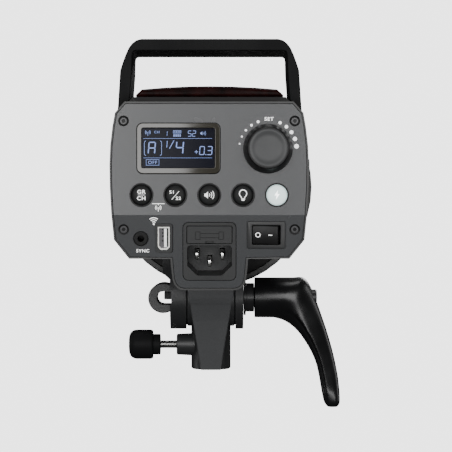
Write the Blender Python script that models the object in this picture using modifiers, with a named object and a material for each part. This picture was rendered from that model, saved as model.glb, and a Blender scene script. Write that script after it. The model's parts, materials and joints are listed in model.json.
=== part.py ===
"""Monolight strobe: a studio flash head on a tilting stand bracket.

The frame has +X to the right of someone facing the control panel, +Y along the flash's aim and
+Z up. The origin is the centre of the stand socket's mouth. Sizes below are in millimetres, and
the helpers convert them to metres.
"""

import math

import bmesh
import bpy
from mathutils import Matrix

MM = 0.001
GAP = 0.3                   # clearance between neighbouring pieces
STEPS = 28                  # segments round a large turned shape
FINE = 16                   # segments round a small one

# Driving dimensions of the casing
REAR_Y = -120.0             # plane of the upper control panel
PANEL_THICK = 2.5
KINK_Z = 93.1               # below this line the panel leans away
LEAN = math.radians(8.0)
AXIS_Z = 112.1              # optical axis
PANEL_TOP = 153.8
COVER_TOP = 159.0
PANEL_BOTTOM = 70.4
BARREL_BOTTOM = 69.8
BUMP_BOTTOM = 53.1
BUMP_FRONT = -72.0
SPLIT_Z = 93.0              # where upper and lower housing meet
WALL = 2.2
RIM = 1.3                   # housing rim that frames the panel
RING_R = 64.0
RING_BACK = 50.4
RING_FRONT = 75.0

# Driving dimensions of the stand bracket
TILT_Z = 43.5
KNUCKLE_R = 17.5
KNUCKLE_HALF = 14.6
SOCKET_R = 12.0
BORE_R = 8.2
BORE_DEPTH = 36.0
CLAMP_Z = 14.8
EAR_R = 19.2
STUD_R = 4.0
UMBRELLA_X = -28.8
UMBRELLA_BORE_R = 4.05
HUB_R = 12.2
DISC_HOLE_R = 4.4           # clearance round the tilt stud

# Driving dimensions of the handle
HANDLE_BACK = -90.0
HANDLE_FRONT = -48.0
HANDLE_FOOT = 112.0
HANDLE_BOLT_Z = 122.0
HANDLE_BOLT_YS = (-80.0, -58.0)
HANDLE_HOLE_R = 2.8

# Air slots through the barrel's sides and floor
VENTS, VENT_BACK, VENT_PITCH, VENT_WIDE = 7, -36.0, 8.0, 3.5
VENT_LOW, VENT_HIGH = 102.0, 132.0
FLOOR_VENTS, FLOOR_VENT_BACK, FLOOR_VENT_PITCH, FLOOR_VENT_WIDE = 5, -62.0, 7.0, 3.2
FLOOR_VENT_HALF = 26.0

# Smoked window on the top cover
WINDOW_HALF = 42.4
WINDOW_TOP = 165.3
WINDOW_CROWN_R = 402.0
WINDOW_CROWN_HALF_ANGLE = 5.4
WINDOW_WALL = 1.8
WINDOW_FRONT, WINDOW_BACK = 46.0, 98.0

# Front end
LATCH_ANGLE = math.radians(57.0)
RING_BORE_R = 60.2
RING_MOUTH_R = 52.5
RING_SHOULDER = 57.6
TUBE_R = 31.0
TUBE_THICK = 3.9
TUBE_LEGS = (-7.0, 7.0)
TUBE_Y = 70.0

# Panel screws and the posts that they bite into, depths measured in from the panel's face
PANEL_SCREWS = (("left_top", -46.8, 144.5), ("right_top", 46.8, 144.5),
                ("left_low", -46.8, 85.2), ("right_low", 46.8, 85.2))
POST_R = 3.4
POST_END = -10.5
POST_HOLE_R = 1.8
POST_HOLE_END = -9.5
SCREW_END = -9.0

# Fittings on the upright panel, as left, right, bottom, top or as x, z
DISPLAY = (-39.5, 6.0, 115.7, 143.3)
SCREEN = (-36.9, 3.1, 118.8, 140.6)
DIAL = (32.1, 129.3)
BUTTON_Z = 104.0
BUTTONS = (("button_group", -37.0), ("button_slave", -18.5), ("button_beep", 0.0),
           ("button_lamp", 18.5), ("button_test", 37.0))

# Fittings on the leaning panel, as (x, v) with v measured up its face from the kink line
LOWER_ORIGIN = (0, REAR_Y, KINK_Z)
SYNC_X, SYNC_V = -37.4, -12.95
USB_X, USB_V = -24.6, -12.85
INLET = (-14.3, 14.6, -36.1, -4.15)
INLET_MID = 0.15
DRAWER = (-12.1, 12.4, -15.65, -6.2)
WELL = (-12.05, 12.35, -33.5, -16.8)
PINS = (("pin_line", -7.0, -23.1), ("pin_neutral", 7.0, -23.1), ("pin_earth", 0.0, -27.1))
SWITCH_X, SWITCH_V = 31.2, -10.85
ROCKER_REST = math.radians(11.0)

# Orientations: local +Z points back out of the panel, forward, right or left
BACK = (math.radians(90), 0, 0)
BACK_LEANING = (math.radians(90) + LEAN, 0, 0)
FORWARD = (math.radians(-90), 0, 0)
RIGHT = (0, math.radians(90), 0)
LEFT = (0, math.radians(-90), 0)

PARTS = "monolight_strobe"
CUTTERS = "cutters"


# ---------------------------------------------------------------- helpers

def clear_scene():
    for obj in list(bpy.data.objects):
        bpy.data.objects.remove(obj)
    for name in (PARTS, CUTTERS):
        collection = bpy.data.collections.new(name)
        bpy.context.scene.collection.children.link(collection)


def add_object(name, mesh, rotation=(0, 0, 0), location=(0, 0, 0)):
    obj = bpy.data.objects.new(name, mesh)
    obj.rotation_euler = rotation
    obj.location = [value * MM for value in location]
    bpy.data.collections[PARTS].objects.link(obj)
    return obj


def as_tool(obj):
    """Turn an object into a hidden operand of a Boolean."""
    bpy.data.collections[PARTS].objects.unlink(obj)
    bpy.data.collections[CUTTERS].objects.link(obj)
    obj.hide_render = True
    obj.display_type = "WIRE"
    return obj


def combine(obj, operation, tools):
    for tool in tools:
        modifier = obj.modifiers.new(tool.name, "BOOLEAN")
        modifier.operation = operation
        modifier.solver = "EXACT"
        modifier.object = as_tool(tool)
    return obj


def cut(obj, *tools):
    return combine(obj, "DIFFERENCE", tools)


def join(obj, *tools):
    return combine(obj, "UNION", tools)


def turned(name, profile, rotation=(0, 0, 0), location=(0, 0, 0), steps=STEPS, ring=False):
    """Solid of revolution about local Z. The profile of (radius, height) points runs down its
    outer side; a ring's profile closes on itself instead of ending on the axis."""
    points = [(radius * MM, 0, height * MM) for radius, height in profile]
    edges = [(i, i + 1) for i in range(len(points) - 1)]
    if ring:
        edges.append((len(points) - 1, 0))
    mesh = bpy.data.meshes.new(name)
    mesh.from_pydata(points, edges, [])
    obj = add_object(name, mesh, rotation, location)
    screw = obj.modifiers.new("Screw", "SCREW")
    screw.steps = steps
    screw.render_steps = steps
    screw.use_merge_vertices = True
    screw.merge_threshold = 0.00002
    screw.use_smooth_shade = True
    return obj


def rod(name, radius, low, high, rotation=(0, 0, 0), location=(0, 0, 0), steps=FINE):
    profile = [(0, high), (radius, high), (radius, low), (0, low)]
    return turned(name, profile, rotation, location, steps)


def box(name, low, high, rotation=(0, 0, 0), location=(0, 0, 0), round_by=0.0, segments=2):
    bm = bmesh.new()
    bmesh.ops.create_cube(bm, size=1.0)
    size = [(b - a) * MM for a, b in zip(low, high)]
    middle = [(a + b) / 2 * MM for a, b in zip(low, high)]
    bmesh.ops.scale(bm, vec=size, verts=bm.verts)
    bmesh.ops.translate(bm, vec=middle, verts=bm.verts)
    mesh = bpy.data.meshes.new(name)
    bm.to_mesh(mesh)
    bm.free()
    obj = add_object(name, mesh, rotation, location)
    if round_by:
        bevel(obj, round_by, segments)
    return obj


def bevel(obj, width, segments=2, angle=40):
    modifier = obj.modifiers.new("Bevel", "BEVEL")
    modifier.width = width * MM
    modifier.segments = segments
    modifier.limit_method = "ANGLE"
    modifier.angle_limit = math.radians(angle)
    return obj


def plate(name, outlines, low, high, rotation=(0, 0, 0), location=(0, 0, 0)):
    """Flat outline in local XY, and any holes in it, extruded from low to high along local Z."""
    curve = bpy.data.curves.new(name, "CURVE")
    curve.dimensions = "2D"
    curve.fill_mode = "BOTH"
    curve.extrude = (high - low) / 2 * MM
    for outline in outlines:
        spline = curve.splines.new("POLY")
        spline.points.add(len(outline) - 1)
        for point, (x, y) in zip(spline.points, outline):
            point.co = (x * MM, y * MM, 0, 1)
        spline.use_cyclic_u = True
    guide = bpy.data.objects.new(name, curve)
    mesh = bpy.data.meshes.new_from_object(guide)
    bm = bmesh.new()
    bm.from_mesh(mesh)
    bmesh.ops.remove_doubles(bm, verts=bm.verts, dist=0.000002)
    bmesh.ops.recalc_face_normals(bm, faces=bm.faces)
    bmesh.ops.dissolve_limit(bm, angle_limit=0.001, verts=bm.verts, edges=bm.edges)
    bmesh.ops.translate(bm, vec=(0, 0, (low + high) / 2 * MM), verts=bm.verts)
    bm.to_mesh(mesh)
    bm.free()
    mesh.name = name
    bpy.data.objects.remove(guide)
    return add_object(name, mesh, rotation, location)


def side_plate(name, outline, left, right, location=(0, 0, 0)):
    """Outline of (y, z) points extruded along X."""
    return plate(name, [[(-z, y) for y, z in outline]], left, right, RIGHT, location)


def loft(name, sections, caps=False):
    """Skin through sections of (x, y, z) points that all have the same count."""
    count = len(sections[0])
    points = [[value * MM for value in point] for section in sections for point in section]
    faces = []
    for row in range(len(sections) - 1):
        for i in range(count):
            j = (i + 1) % count
            a, b = row * count, (row + 1) * count
            faces.append((a + i, a + j, b + j, b + i))
    if caps:
        faces.append(tuple(range(count)))
        faces.append(tuple(range(len(points) - count, len(points))))
    mesh = bpy.data.meshes.new(name)
    mesh.from_pydata(points, [], faces)
    bm = bmesh.new()
    bm.from_mesh(mesh)
    bmesh.ops.recalc_face_normals(bm, faces=bm.faces)
    bm.to_mesh(mesh)
    bm.free()
    return add_object(name, mesh)


def arc(centre, radius, start, stop, count):
    """Points along an arc, angles in degrees, both ends included."""
    angles = [math.radians(start + (stop - start) * i / count) for i in range(count + 1)]
    return [(centre[0] + radius * math.cos(a), centre[1] + radius * math.sin(a)) for a in angles]


def circle(centre, radius, count):
    return arc(centre, radius, 0, 360 - 360 / count, count - 1)


def rounded_box(left, right, bottom, top, radius, count=4):
    """Rectangle outline with round corners."""
    corners = [(right - radius, top - radius, 0), (left + radius, top - radius, 90),
               (left + radius, bottom + radius, 180), (right - radius, bottom + radius, 270)]
    points = []
    for x, y, start in corners:
        points += arc((x, y), radius, start, start + 90, count)
    return points


def offset(outline, distance):
    """Closed outline moved outward by a distance, its points kept in order."""
    area = sum(a[0] * b[1] - b[0] * a[1] for a, b in zip(outline, outline[1:] + outline[:1]))
    sign = 1 if area > 0 else -1
    moved = []
    for i, point in enumerate(outline):
        before, after = outline[i - 1], outline[(i + 1) % len(outline)]
        normals = []
        for a, b in ((before, point), (point, after)):
            length = math.hypot(b[0] - a[0], b[1] - a[1])
            normals.append((sign * (b[1] - a[1]) / length, -sign * (b[0] - a[0]) / length))
        (ax, ay), (bx, by) = normals
        scale = distance / (1 + ax * bx + ay * by)
        moved.append((point[0] + (ax + bx) * scale, point[1] + (ay + by) * scale))
    return moved


def mirrored(right_half):
    """Full outline from the half at positive X, listed from top to bottom."""
    return right_half + [(-x, y) for x, y in reversed(right_half)]


def subdivided(outline, step):
    """Outline with extra points on its long edges."""
    points = []
    for a, b in zip(outline, outline[1:] + outline[:1]):
        parts = max(1, round(math.hypot(b[0] - a[0], b[1] - a[1]) / step))
        points += [(a[0] + (b[0] - a[0]) * i / parts, a[1] + (b[1] - a[1]) * i / parts)
                   for i in range(parts)]
    return points


def lean_at(z):
    """How far the rear face lies forward of REAR_Y at height z."""
    return max(0.0, KINK_Z - z) * math.tan(LEAN)


# ---------------------------------------------------------------- casing outlines

def side_curve():
    """The panel's bulging right edge, from the top corner to the lower one."""
    points = []
    for z in (148.4, 141.0, 131.0, 120.4, 108.0, 94.0, 80.0):
        reach, bulge = (28.0, 2.9) if z > 120.4 else (40.4, 2.3)
        points.append((53.2 - bulge * ((z - 120.4) / reach) ** 2, z))
    return points


def panel_outline():
    """Rear panel with the inlet bump below it."""
    bump = [(20.0, PANEL_BOTTOM - 0.5), (18.9, BUMP_BOTTOM + 5.0)]
    corner = arc((13.7, BUMP_BOTTOM + 5.0), 5.0, -10, -90, 4)
    half = [(45.6, PANEL_TOP)] + side_curve() + [(43.3, PANEL_BOTTOM)] + bump + corner
    return mirrored(half)


def barrel_outline():
    half = [(45.6, PANEL_TOP)] + side_curve() + [(43.3, PANEL_BOTTOM)]
    return subdivided(mirrored(half), 12.0)


def narrowed(x, z):
    """A barrel point moved from the rear outline to the slimmer, taller mid section."""
    if z > PANEL_TOP + 0.5:
        z += COVER_TOP - PANEL_TOP - RIM
    elif z > 146:
        z += 3.4
    elif z < PANEL_BOTTOM - 0.5:
        z = BARREL_BOTTOM
    return x * 0.92, z


def bump_outline(grow, top):
    """Closed outline of the inlet bump, its top hidden inside the barrel."""
    half = [(20.0, top), (19.8, 66.0), (18.9, BUMP_BOTTOM + 5.0)]
    half += arc((13.7, BUMP_BOTTOM + 5.0), 5.0, -10, -90, 4)
    return offset(mirrored(half), grow)


def barrel_skin(name):
    """Closed wall of the whole barrel, from the rear rim to inside the front ring."""
    rear = offset(barrel_outline(), RIM)
    middle = [narrowed(x, z) for x, z in rear]
    front = []
    for x, z in middle:
        length = math.hypot(x, z - AXIS_Z)
        front.append((x / length * (RING_R - 4.4), AXIS_Z + (z - AXIS_Z) / length * (RING_R - 4.4)))
    lip = [(x * 0.985, z) for x, z in rear]
    sections = [[(x, REAR_Y + lean_at(z), z) for x, z in rear],
                [(x, REAR_Y + 12 + lean_at(z), z) for x, z in lip],
                [(x, REAR_Y + 20 + lean_at(z), z) for x, z in middle],
                [(x, 27.0, z) for x, z in middle],
                [(x, RING_BACK - 2, z) for x, z in front],
                [(x, RING_BACK + 6.6, z) for x, z in front]]
    skin = loft(name, sections)
    shell = skin.modifiers.new("Wall", "SOLIDIFY")
    shell.thickness = WALL * MM
    shell.offset = -1
    shell.use_even_offset = True
    return skin


def kinked_plate(name, outlines, inner, outer):
    """Plate that follows the panel's kink; inner and outer are heights out of the rear plane."""
    obj = plate(name, outlines, inner, outer, BACK, (0, REAR_Y, 0))
    bm = bmesh.new()
    bm.from_mesh(obj.data)
    geometry = bm.verts[:] + bm.edges[:] + bm.faces[:]
    bmesh.ops.bisect_plane(bm, geom=geometry, plane_co=(0, KINK_Z * MM, 0), plane_no=(0, 1, 0))
    for vert in bm.verts:
        vert.co.z -= lean_at(vert.co.y / MM) * MM
    bm.to_mesh(obj.data)
    bm.free()
    return obj


# ---------------------------------------------------------------- casing

def panel_frame(z):
    """Rotation and a function from (x, z) to a location for a fitting on the rear face."""
    if z > KINK_Z:
        return BACK, (lambda x: (x, REAR_Y, z))
    depth = (KINK_Z - z) * 1.012
    y = REAR_Y + depth * math.sin(LEAN)
    return BACK_LEANING, (lambda x: (x, y, KINK_Z - depth * math.cos(LEAN)))


def screw_places(low):
    for name, x, z in PANEL_SCREWS:
        if (z < KINK_Z) == low:
            rotation, place = panel_frame(z)
            yield name, rotation, place(x)


def add_posts(shell, low):
    """Posts inside the housing's corners that the panel screws bite into."""
    for name, rotation, location in screw_places(low):
        join(shell, rod("post_" + name, POST_R, POST_END, -4.0, rotation, location, 16))
    for name, rotation, location in screw_places(low):
        cut(shell, rod("post_hole_" + name, POST_HOLE_R, POST_HOLE_END, -3.0, rotation, location, 12))
    return shell


def panel_rabbet(name):
    """Space that the rear panel takes out of the housings."""
    return kinked_plate(name, [offset(panel_outline(), 0.35)], -PANEL_THICK - 0.3, 3.0)


def upper_housing():
    shell = barrel_skin("upper_housing")
    cut(shell, box("cut_below_split", (-80, -140, 0), (80, 90, SPLIT_Z + 0.15)))
    add_posts(shell, low=False)
    cut(shell, panel_rabbet("cut_upper_rabbet"))
    cut(shell, box("cut_sensor_opening", (-34, -92, 150), (34, -52, 170)))
    for index in range(VENTS):
        y = VENT_BACK + VENT_PITCH * index
        cut(shell, box(f"cut_vent_{index}", (-60, y, VENT_LOW), (60, y + VENT_WIDE, VENT_HIGH)))
    for index, y in enumerate(HANDLE_BOLT_YS):
        cut(shell, rod(f"cut_bolt_way_{index}", HANDLE_HOLE_R, -60, 60, RIGHT, (0, y, HANDLE_BOLT_Z)))
    return shell


def lower_housing():
    shell = barrel_skin("lower_housing")
    cut(shell, box("cut_above_split", (-80, -140, SPLIT_Z - 0.15), (80, 90, 200)))
    join(shell, bump_solid("bump_outside", RIM, 69.3, 0.15, 0.0))
    cut(shell, panel_rabbet("cut_lower_rabbet"))
    cut(shell, bump_solid("bump_inside", RIM - WALL, 84.0, -3.0, -WALL))
    add_posts(shell, low=True)
    for index in range(FLOOR_VENTS):
        y = FLOOR_VENT_BACK + FLOOR_VENT_PITCH * index
        low, high = (-FLOOR_VENT_HALF, y, 60), (FLOOR_VENT_HALF, y + FLOOR_VENT_WIDE, 75)
        cut(shell, box(f"cut_floor_vent_{index}", low, high))
    return shell


def bump_solid(name, grow, top, rear, front):
    """Bump under the panel that houses the mains inlet, fading into the barrel's floor."""
    outline = bump_outline(grow, top)
    tail = []
    for x, z in outline:
        height = z if z > PANEL_BOTTOM else PANEL_BOTTOM + 1.0 - (PANEL_BOTTOM - z) * 0.12
        tail.append((x * 0.9, height))
    sections = [[(x, REAR_Y + rear + lean_at(z), z) for x, z in outline],
                [(x, REAR_Y + 24.0 + front, z) for x, z in outline],
                [(x, BUMP_FRONT + front, z) for x, z in tail]]
    return loft(name, sections, caps=True)


def rear_panel():
    """Kinked panel plate with its cut-outs."""
    panel = kinked_plate("rear_panel", [panel_outline()], -PANEL_THICK, 0.0)
    for name, rotation, location in [*screw_places(False), *screw_places(True)]:
        profile = [(0, 1), (2.85, 1), (2.85, -1.6), (1.75, -1.6), (1.75, -5), (0, -5)]
        cut(panel, turned("cut_screw_" + name, profile, rotation, location, 12))
    opening = rounded_box(DISPLAY[0] - GAP, DISPLAY[1] + GAP, DISPLAY[2] - GAP, DISPLAY[3] + GAP, 3.4)
    cut(panel, plate("cut_display", [opening], -6, 3, BACK, (0, REAR_Y, 0)))
    cut(panel, rod("cut_dial", 4.2, -6, 3, BACK, (DIAL[0], REAR_Y, DIAL[1]), 16))
    for name, x in BUTTONS:
        profile = [(0, 1), (6.45, 1), (6.45, -0.5), (5.9, -0.5), (5.9, -6), (0, -6)]
        cut(panel, turned("cut_" + name, profile, BACK, (x, REAR_Y, BUTTON_Z), 20))
    for name, outline in lower_openings().items():
        cut(panel, plate("cut_" + name, [outline], -7, 3, BACK_LEANING, LOWER_ORIGIN))
    cut(panel, rod("cut_sync", 3.8, -7, 3, BACK_LEANING, lower_place(SYNC_X, SYNC_V)))
    return panel


def panel_screws():
    for name, rotation, location in [*screw_places(False), *screw_places(True)]:
        profile = [(0, -0.15), (2.2, -0.15), (2.5, -0.45), (2.5, -1.3), (1.4, -1.3),
                   (1.4, SCREW_END), (0, SCREW_END)]
        screw = turned("panel_screw_" + name, profile, rotation, location, 12)
        hexagon = circle((0, 0), 1.4, 6)
        cut(screw, plate("cut_hex_" + name, [hexagon], -1.0, 1.0, rotation, location))


def sensor_window():
    """Smoked hump on the top cover, hollow and open below."""
    def hump(grow, bottom):
        centre = (0, WINDOW_TOP - WINDOW_CROWN_R)
        half_angle = WINDOW_CROWN_HALF_ANGLE
        crown = arc(centre, WINDOW_CROWN_R + grow, 90 - half_angle, 90 + half_angle, 6)
        return [(WINDOW_HALF + grow, bottom)] + crown + [(-WINDOW_HALF - grow, bottom)]

    low = COVER_TOP + GAP
    window = plate("sensor_window", [hump(0, low)], WINDOW_FRONT, WINDOW_BACK, BACK)
    bevel(window, 2.0, 3)
    inside = plate("cut_window_inside", [hump(-WINDOW_WALL, low - 2)], WINDOW_FRONT + WINDOW_WALL,
                   WINDOW_BACK - WINDOW_WALL, BACK)
    return cut(window, inside)


def photocell():
    """Slave sensor under the smoked window, on its own small board."""
    board = box("photocell", (-38, -84, 154.2), (38, -60, 155.8))
    dome = [(0, 162.0), (2.6, 161.3), (4.4, 159.4), (5.0, 157.0), (5.0, 155.0), (0, 155.0)]
    return join(board, turned("photocell_dome", dome, location=(0, -72, 0), steps=FINE))


def handle():
    """Broad U-shaped carrying handle whose feet lie on the barrel's sides."""
    outer = [(54.2, HANDLE_FOOT), (54.0, 122), (52.9, 140), (51.6, 155.4), (50.5, 174.9), (49.3, 178.7),
             (47.5, 183.2), (44.8, 189.1), (41.8, 191.8), (38.5, 192.5)]
    inner = [(37.0, 185.9), (40.0, 184.4), (42.4, 180.8), (43.8, 175.0), (45.0, 158.0), (47.7, 153.9),
             (49.4, 141.0), (50.6, 121.0), (50.6, HANDLE_FOOT)]
    outline = outer + [(-x, z) for x, z in reversed(outer)] + [(-x, z) for x, z in reversed(inner)] + inner
    band = plate("handle", [outline], -HANDLE_FRONT, -HANDLE_BACK, BACK)
    bevel(band, 1.3, 1, angle=60)
    for index, y in enumerate(HANDLE_BOLT_YS):
        cut(band, rod(f"cut_handle_bolt_{index}", HANDLE_HOLE_R, -60, 60, RIGHT, (0, y, HANDLE_BOLT_Z)))
    return band


def handle_bolts():
    profile = [(0, 56.6), (2.6, 56.6), (3.8, 55.9), (4.1, 54.9), (4.1, 54.4), (2.5, 54.4), (2.5, 43), (0, 43)]
    for side, rotation in (("left", LEFT), ("right", RIGHT)):
        for index, y in enumerate(HANDLE_BOLT_YS):
            place = (0, y, HANDLE_BOLT_Z)
            bolt = turned(f"handle_bolt_{side}_{index + 1}", profile, rotation, place, 12)
            hexagon = circle((0, 0), 1.9, 6)
            cut(bolt, plate(f"cut_hex_{side}_{index}", [hexagon], 55.2, 58.0, rotation, place))


# ---------------------------------------------------------------- front end

def axis_place(y=0.0):
    return (0, y, AXIS_Z)


def latch_rotation():
    """Local X runs out of the ring at the latch, local Y along the flash's aim."""
    return (0, -LATCH_ANGLE, 0)


def front_ring():
    """Collar that takes reflectors and softboxes."""
    profile = [(RING_MOUTH_R + 0.8, RING_FRONT), (RING_R - 1.2, RING_FRONT), (RING_R, RING_FRONT - 1.2),
               (RING_R, RING_BACK + 0.8), (RING_R - 0.8, RING_BACK), (RING_BORE_R, RING_BACK),
               (RING_BORE_R, RING_SHOULDER), (RING_MOUTH_R, RING_SHOULDER), (RING_MOUTH_R, RING_FRONT - 0.8)]
    ring = turned("front_ring", profile, FORWARD, axis_place(), 44, ring=True)
    slot = box("cut_latch_slot", (48, 58.2, -3.4), (70, 69.4, 3.4), latch_rotation(), axis_place())
    return cut(ring, slot)


def bayonet_plate():
    """Flat ring with three windows that a modifier's lugs pass through."""
    inner = []
    for index in range(3):
        start = index * 120 + 60
        inner += arc((0, 0), 49.0, start, start + 34, 4)
        inner += arc((0, 0), 45.0, start + 36, start + 118, 9)
    outline = circle((0, 0), 52.2, 48)
    return plate("bayonet_plate", [outline, inner], 61.0, 63.5, FORWARD, axis_place())


def mount_release():
    """Sprung thumb slide that frees the modifier."""
    thumb = box("mount_release", (64.4, 60, -6), (67.2, 71, 6), latch_rotation(), axis_place(), 0.6)
    stem = box("latch_stem", (54.0, 63, -3), (65.0, 69, 3), latch_rotation(), axis_place())
    return join(thumb, stem)


def reflector_plate():
    """Shallow polished dish behind the tube, with holes for its legs."""
    profile = [(17.5, 49.6), (44.0, 59.4), (52.1, 59.4), (52.1, 58.0), (44.4, 58.0), (17.5, 48.0)]
    dish = turned("reflector_plate", profile, FORWARD, axis_place(), 28, ring=True)
    for index, x in enumerate(TUBE_LEGS):
        cut(dish, rod(f"cut_tube_leg_{index}", 5.2, 40, 70, FORWARD, (x, 0, AXIS_Z - TUBE_R), 16))
    return dish


def flash_tube():
    """Ring tube whose two ends turn back through the reflector."""
    gap = math.degrees(math.asin(TUBE_LEGS[1] / TUBE_R))
    ring = arc((0, 0), TUBE_R, -90 + gap + 6, 270 - gap - 6, 22)
    start, stop = (TUBE_LEGS[1], -TUBE_R), (TUBE_LEGS[0], -TUBE_R)
    points = [(*start, 44), (*start, 60), (*start, 66)] + [(x, y, TUBE_Y) for x, y in ring]
    points += [(*stop, 66), (*stop, 60), (*stop, 44)]
    curve = bpy.data.curves.new("flash_tube", "CURVE")
    curve.dimensions = "3D"
    curve.bevel_depth = TUBE_THICK * MM
    curve.bevel_resolution = 2
    curve.use_fill_caps = True
    spline = curve.splines.new("POLY")
    spline.points.add(len(points) - 1)
    for point, (x, y, z) in zip(spline.points, points):
        point.co = (x * MM, -y * MM, z * MM, 1)
    return add_object("flash_tube", curve, FORWARD, axis_place())


def lamp_socket():
    profile = [(0, 27.0), (13.9, 27.0), (13.9, 49.5), (16.6, 49.5), (16.6, 22.0), (0, 22.0)]
    return turned("lamp_socket", profile, FORWARD, axis_place(), 24)


def modelling_lamp():
    profile = [(0, 97.0), (7.0, 96.0), (12.0, 92.4), (14.4, 87.0), (15.0, 81.0), (15.0, 60.0),
               (13.0, 52.0), (13.0, 50.0), (13.3, 49.0), (13.3, 32.0), (9.0, 29.0), (3.0, 27.6), (0, 27.6)]
    return turned("modelling_lamp", profile, FORWARD, axis_place(), 20)


# ---------------------------------------------------------------- inside

def fan_frame():
    """Square frame with a round throat and three struts to the motor seat."""
    outline = rounded_box(-35, 35, -35, 35, 4)
    throat = circle((0, 0), 33.4, 40)
    frame = plate("fan_frame", [outline, throat], 47.0, 62.0, BACK, axis_place())
    join(frame, rod("motor_seat", 12.0, 59.8, 62.0, BACK, axis_place()))
    for index in range(3):
        turn = math.radians(120 * index + 30)
        bar = box(f"strut_{index}", (6, -2, 60), (34.5, 2, 61.8))
        bar.data.transform(Matrix.Rotation(turn, 4, "Z"))
        bar.rotation_euler = BACK
        bar.location = (0, 0, AXIS_Z * MM)
        join(frame, bar)
    return frame


def fan_rotor():
    """Hub with seven pitched blades."""
    hub = turned("fan_rotor", [(0, 59.3), (12.8, 59.3), (13.4, 58.6), (13.4, 48.4), (0, 48.4)], BACK,
                 axis_place(), 32)
    for index in range(7):
        blade = box(f"blade_{index}", (9, -8.0, -0.7), (31.4, 8.0, 0.7))
        pitch = Matrix.Rotation(math.radians(26), 4, "X")
        lift = Matrix.Translation((0, 0, 53.8 * MM))
        blade.data.transform(Matrix.Rotation(math.tau * index / 7, 4, "Z") @ lift @ pitch)
        blade.rotation_euler = BACK
        blade.location = (0, 0, AXIS_Z * MM)
        join(hub, blade)
    return hub


def inner_parts():
    """Boards, storage capacitors and the trigger coil."""
    box("control_board", (-43, -105.4, 97), (43, -103.8, 149))
    box("power_board", (-42, -42, 113.0), (42, 15, 114.6))
    for side, x in (("left", -20.5), ("right", 20.5)):
        can = [(0, 16.0), (16.4, 16.0), (17.5, 14.9), (17.5, -41.0), (16.4, -42.0), (0, -42.0)]
        turned("capacitor_" + side, can, FORWARD, (x, 0, 92.0), 24)
    bobbin = [(0, 135), (6, 135), (6, 132), (9, 132), (9, 118), (6, 118), (6, 114.9), (0, 114.9)]
    turned("trigger_coil", bobbin, location=(24, -14, 0), steps=FINE)


# ---------------------------------------------------------------- rear panel fittings

def lower_place(x, v, out=0.0):
    """World location of a point on the leaning panel, out mm clear of its face."""
    y = REAR_Y - v * math.sin(LEAN) - out * math.cos(LEAN)
    return (x, y, KINK_Z + v * math.cos(LEAN) - out * math.sin(LEAN))


def lower_openings():
    """Panel cut-outs on the leaning face, in its own coordinates."""
    return {
        "usb": rounded_box(USB_X - 4.8, USB_X + 4.8, USB_V - 8.15, USB_V + 8.15, 1.6, 3),
        "inlet": rounded_box(INLET[0] - GAP, INLET[1] + GAP, INLET[2] - GAP, INLET[3] + GAP, 3.2),
        "switch": rounded_box(SWITCH_X - 9.8, SWITCH_X + 9.8, SWITCH_V - 6.8, SWITCH_V + 6.8, 0.8, 2),
    }


def leaning_plate(name, outlines, low, high):
    return plate(name, outlines, low, high, BACK_LEANING, LOWER_ORIGIN)


def display_bezel():
    outer = rounded_box(*DISPLAY, 3.2)
    window = rounded_box(*SCREEN, 0.8, 2)
    return plate("display_bezel", [outer, window], -PANEL_THICK, 0.9, BACK, (0, REAR_Y, 0))


def display_module():
    """Liquid crystal panel in its carrier, behind the bezel."""
    low, high = (-41.0, 115.0, -14.0), (7.5, 144.0, -2.9)
    return box("display_module", low, high, BACK, (0, REAR_Y, 0), 0.5, 1)


def buttons():
    for name, x in BUTTONS:
        profile = [(0, 1.5), (4.4, 1.2), (5.3, 0.5), (5.55, -0.4), (5.55, -3.0), (6.8, -3.0), (6.8, -4.4),
                   (2.0, -4.4), (2.0, -13.0), (0, -13.0)]
        turned(name, profile, BACK, (x, REAR_Y, BUTTON_Z), 20)


def dial():
    """Knob on its shaft, through the encoder's rotor."""
    place = (DIAL[0], REAR_Y, DIAL[1])
    knob = [(0, 11.4), (8.6, 11.5), (9.8, 12.2), (10.8, 12.4), (11.5, 11.9), (12.7, 6.0), (13.5, 1.6),
            (13.3, 0.9), (3.4, 0.9), (3.4, 8.0), (0, 8.0)]
    turned("dial_knob", knob, BACK, place)
    rod("dial_shaft", 3.0, -11.6, 7.7, BACK, place)
    ring = [(3.4, -7.6), (5.6, -7.6), (5.6, -11.6), (3.4, -11.6)]
    turned("encoder_rotor", ring, BACK, place, 20, ring=True)
    body = box("encoder_body", (-6.6, -6.6, -14.2), (6.6, 6.6, -5.4), BACK, place)
    well = [(0, -5.0), (3.8, -5.0), (3.8, -7.2), (6.0, -7.2), (6.0, -12.0), (4.0, -12.0), (4.0, -13.0),
            (0, -13.0)]
    cut(body, turned("cut_encoder_well", well, BACK, place, 20))


def usb_socket():
    """Receptacle shell with its tongue, set back in the panel."""
    def outline(half_x, half_v, radius, count):
        return rounded_box(USB_X - half_x, USB_X + half_x, USB_V - half_v, USB_V + half_v, radius, count)

    shell = leaning_plate("usb_socket", [outline(3.45, 6.65, 0.9, 2)], -16, -0.4)
    cut(shell, leaning_plate("cut_usb", [outline(2.9, 6.1, 0.6, 2)], -13, 1))
    seat = leaning_plate("usb_seat", [outline(6.5, 9.5, 1, 1)], -5.2, -3.2)
    mouth = leaning_plate("cut_usb_seat", [outline(2.9, 6.1, 0.6, 2)], -6, 0)
    tongue_outline = rounded_box(USB_X + 0.3, USB_X + 2.2, USB_V - 5.5, USB_V + 5.5, 0.3, 1)
    tongue = leaning_plate("usb_tongue", [tongue_outline], -14, -1.6)
    return join(cut(join(shell, seat), mouth), tongue)


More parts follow.
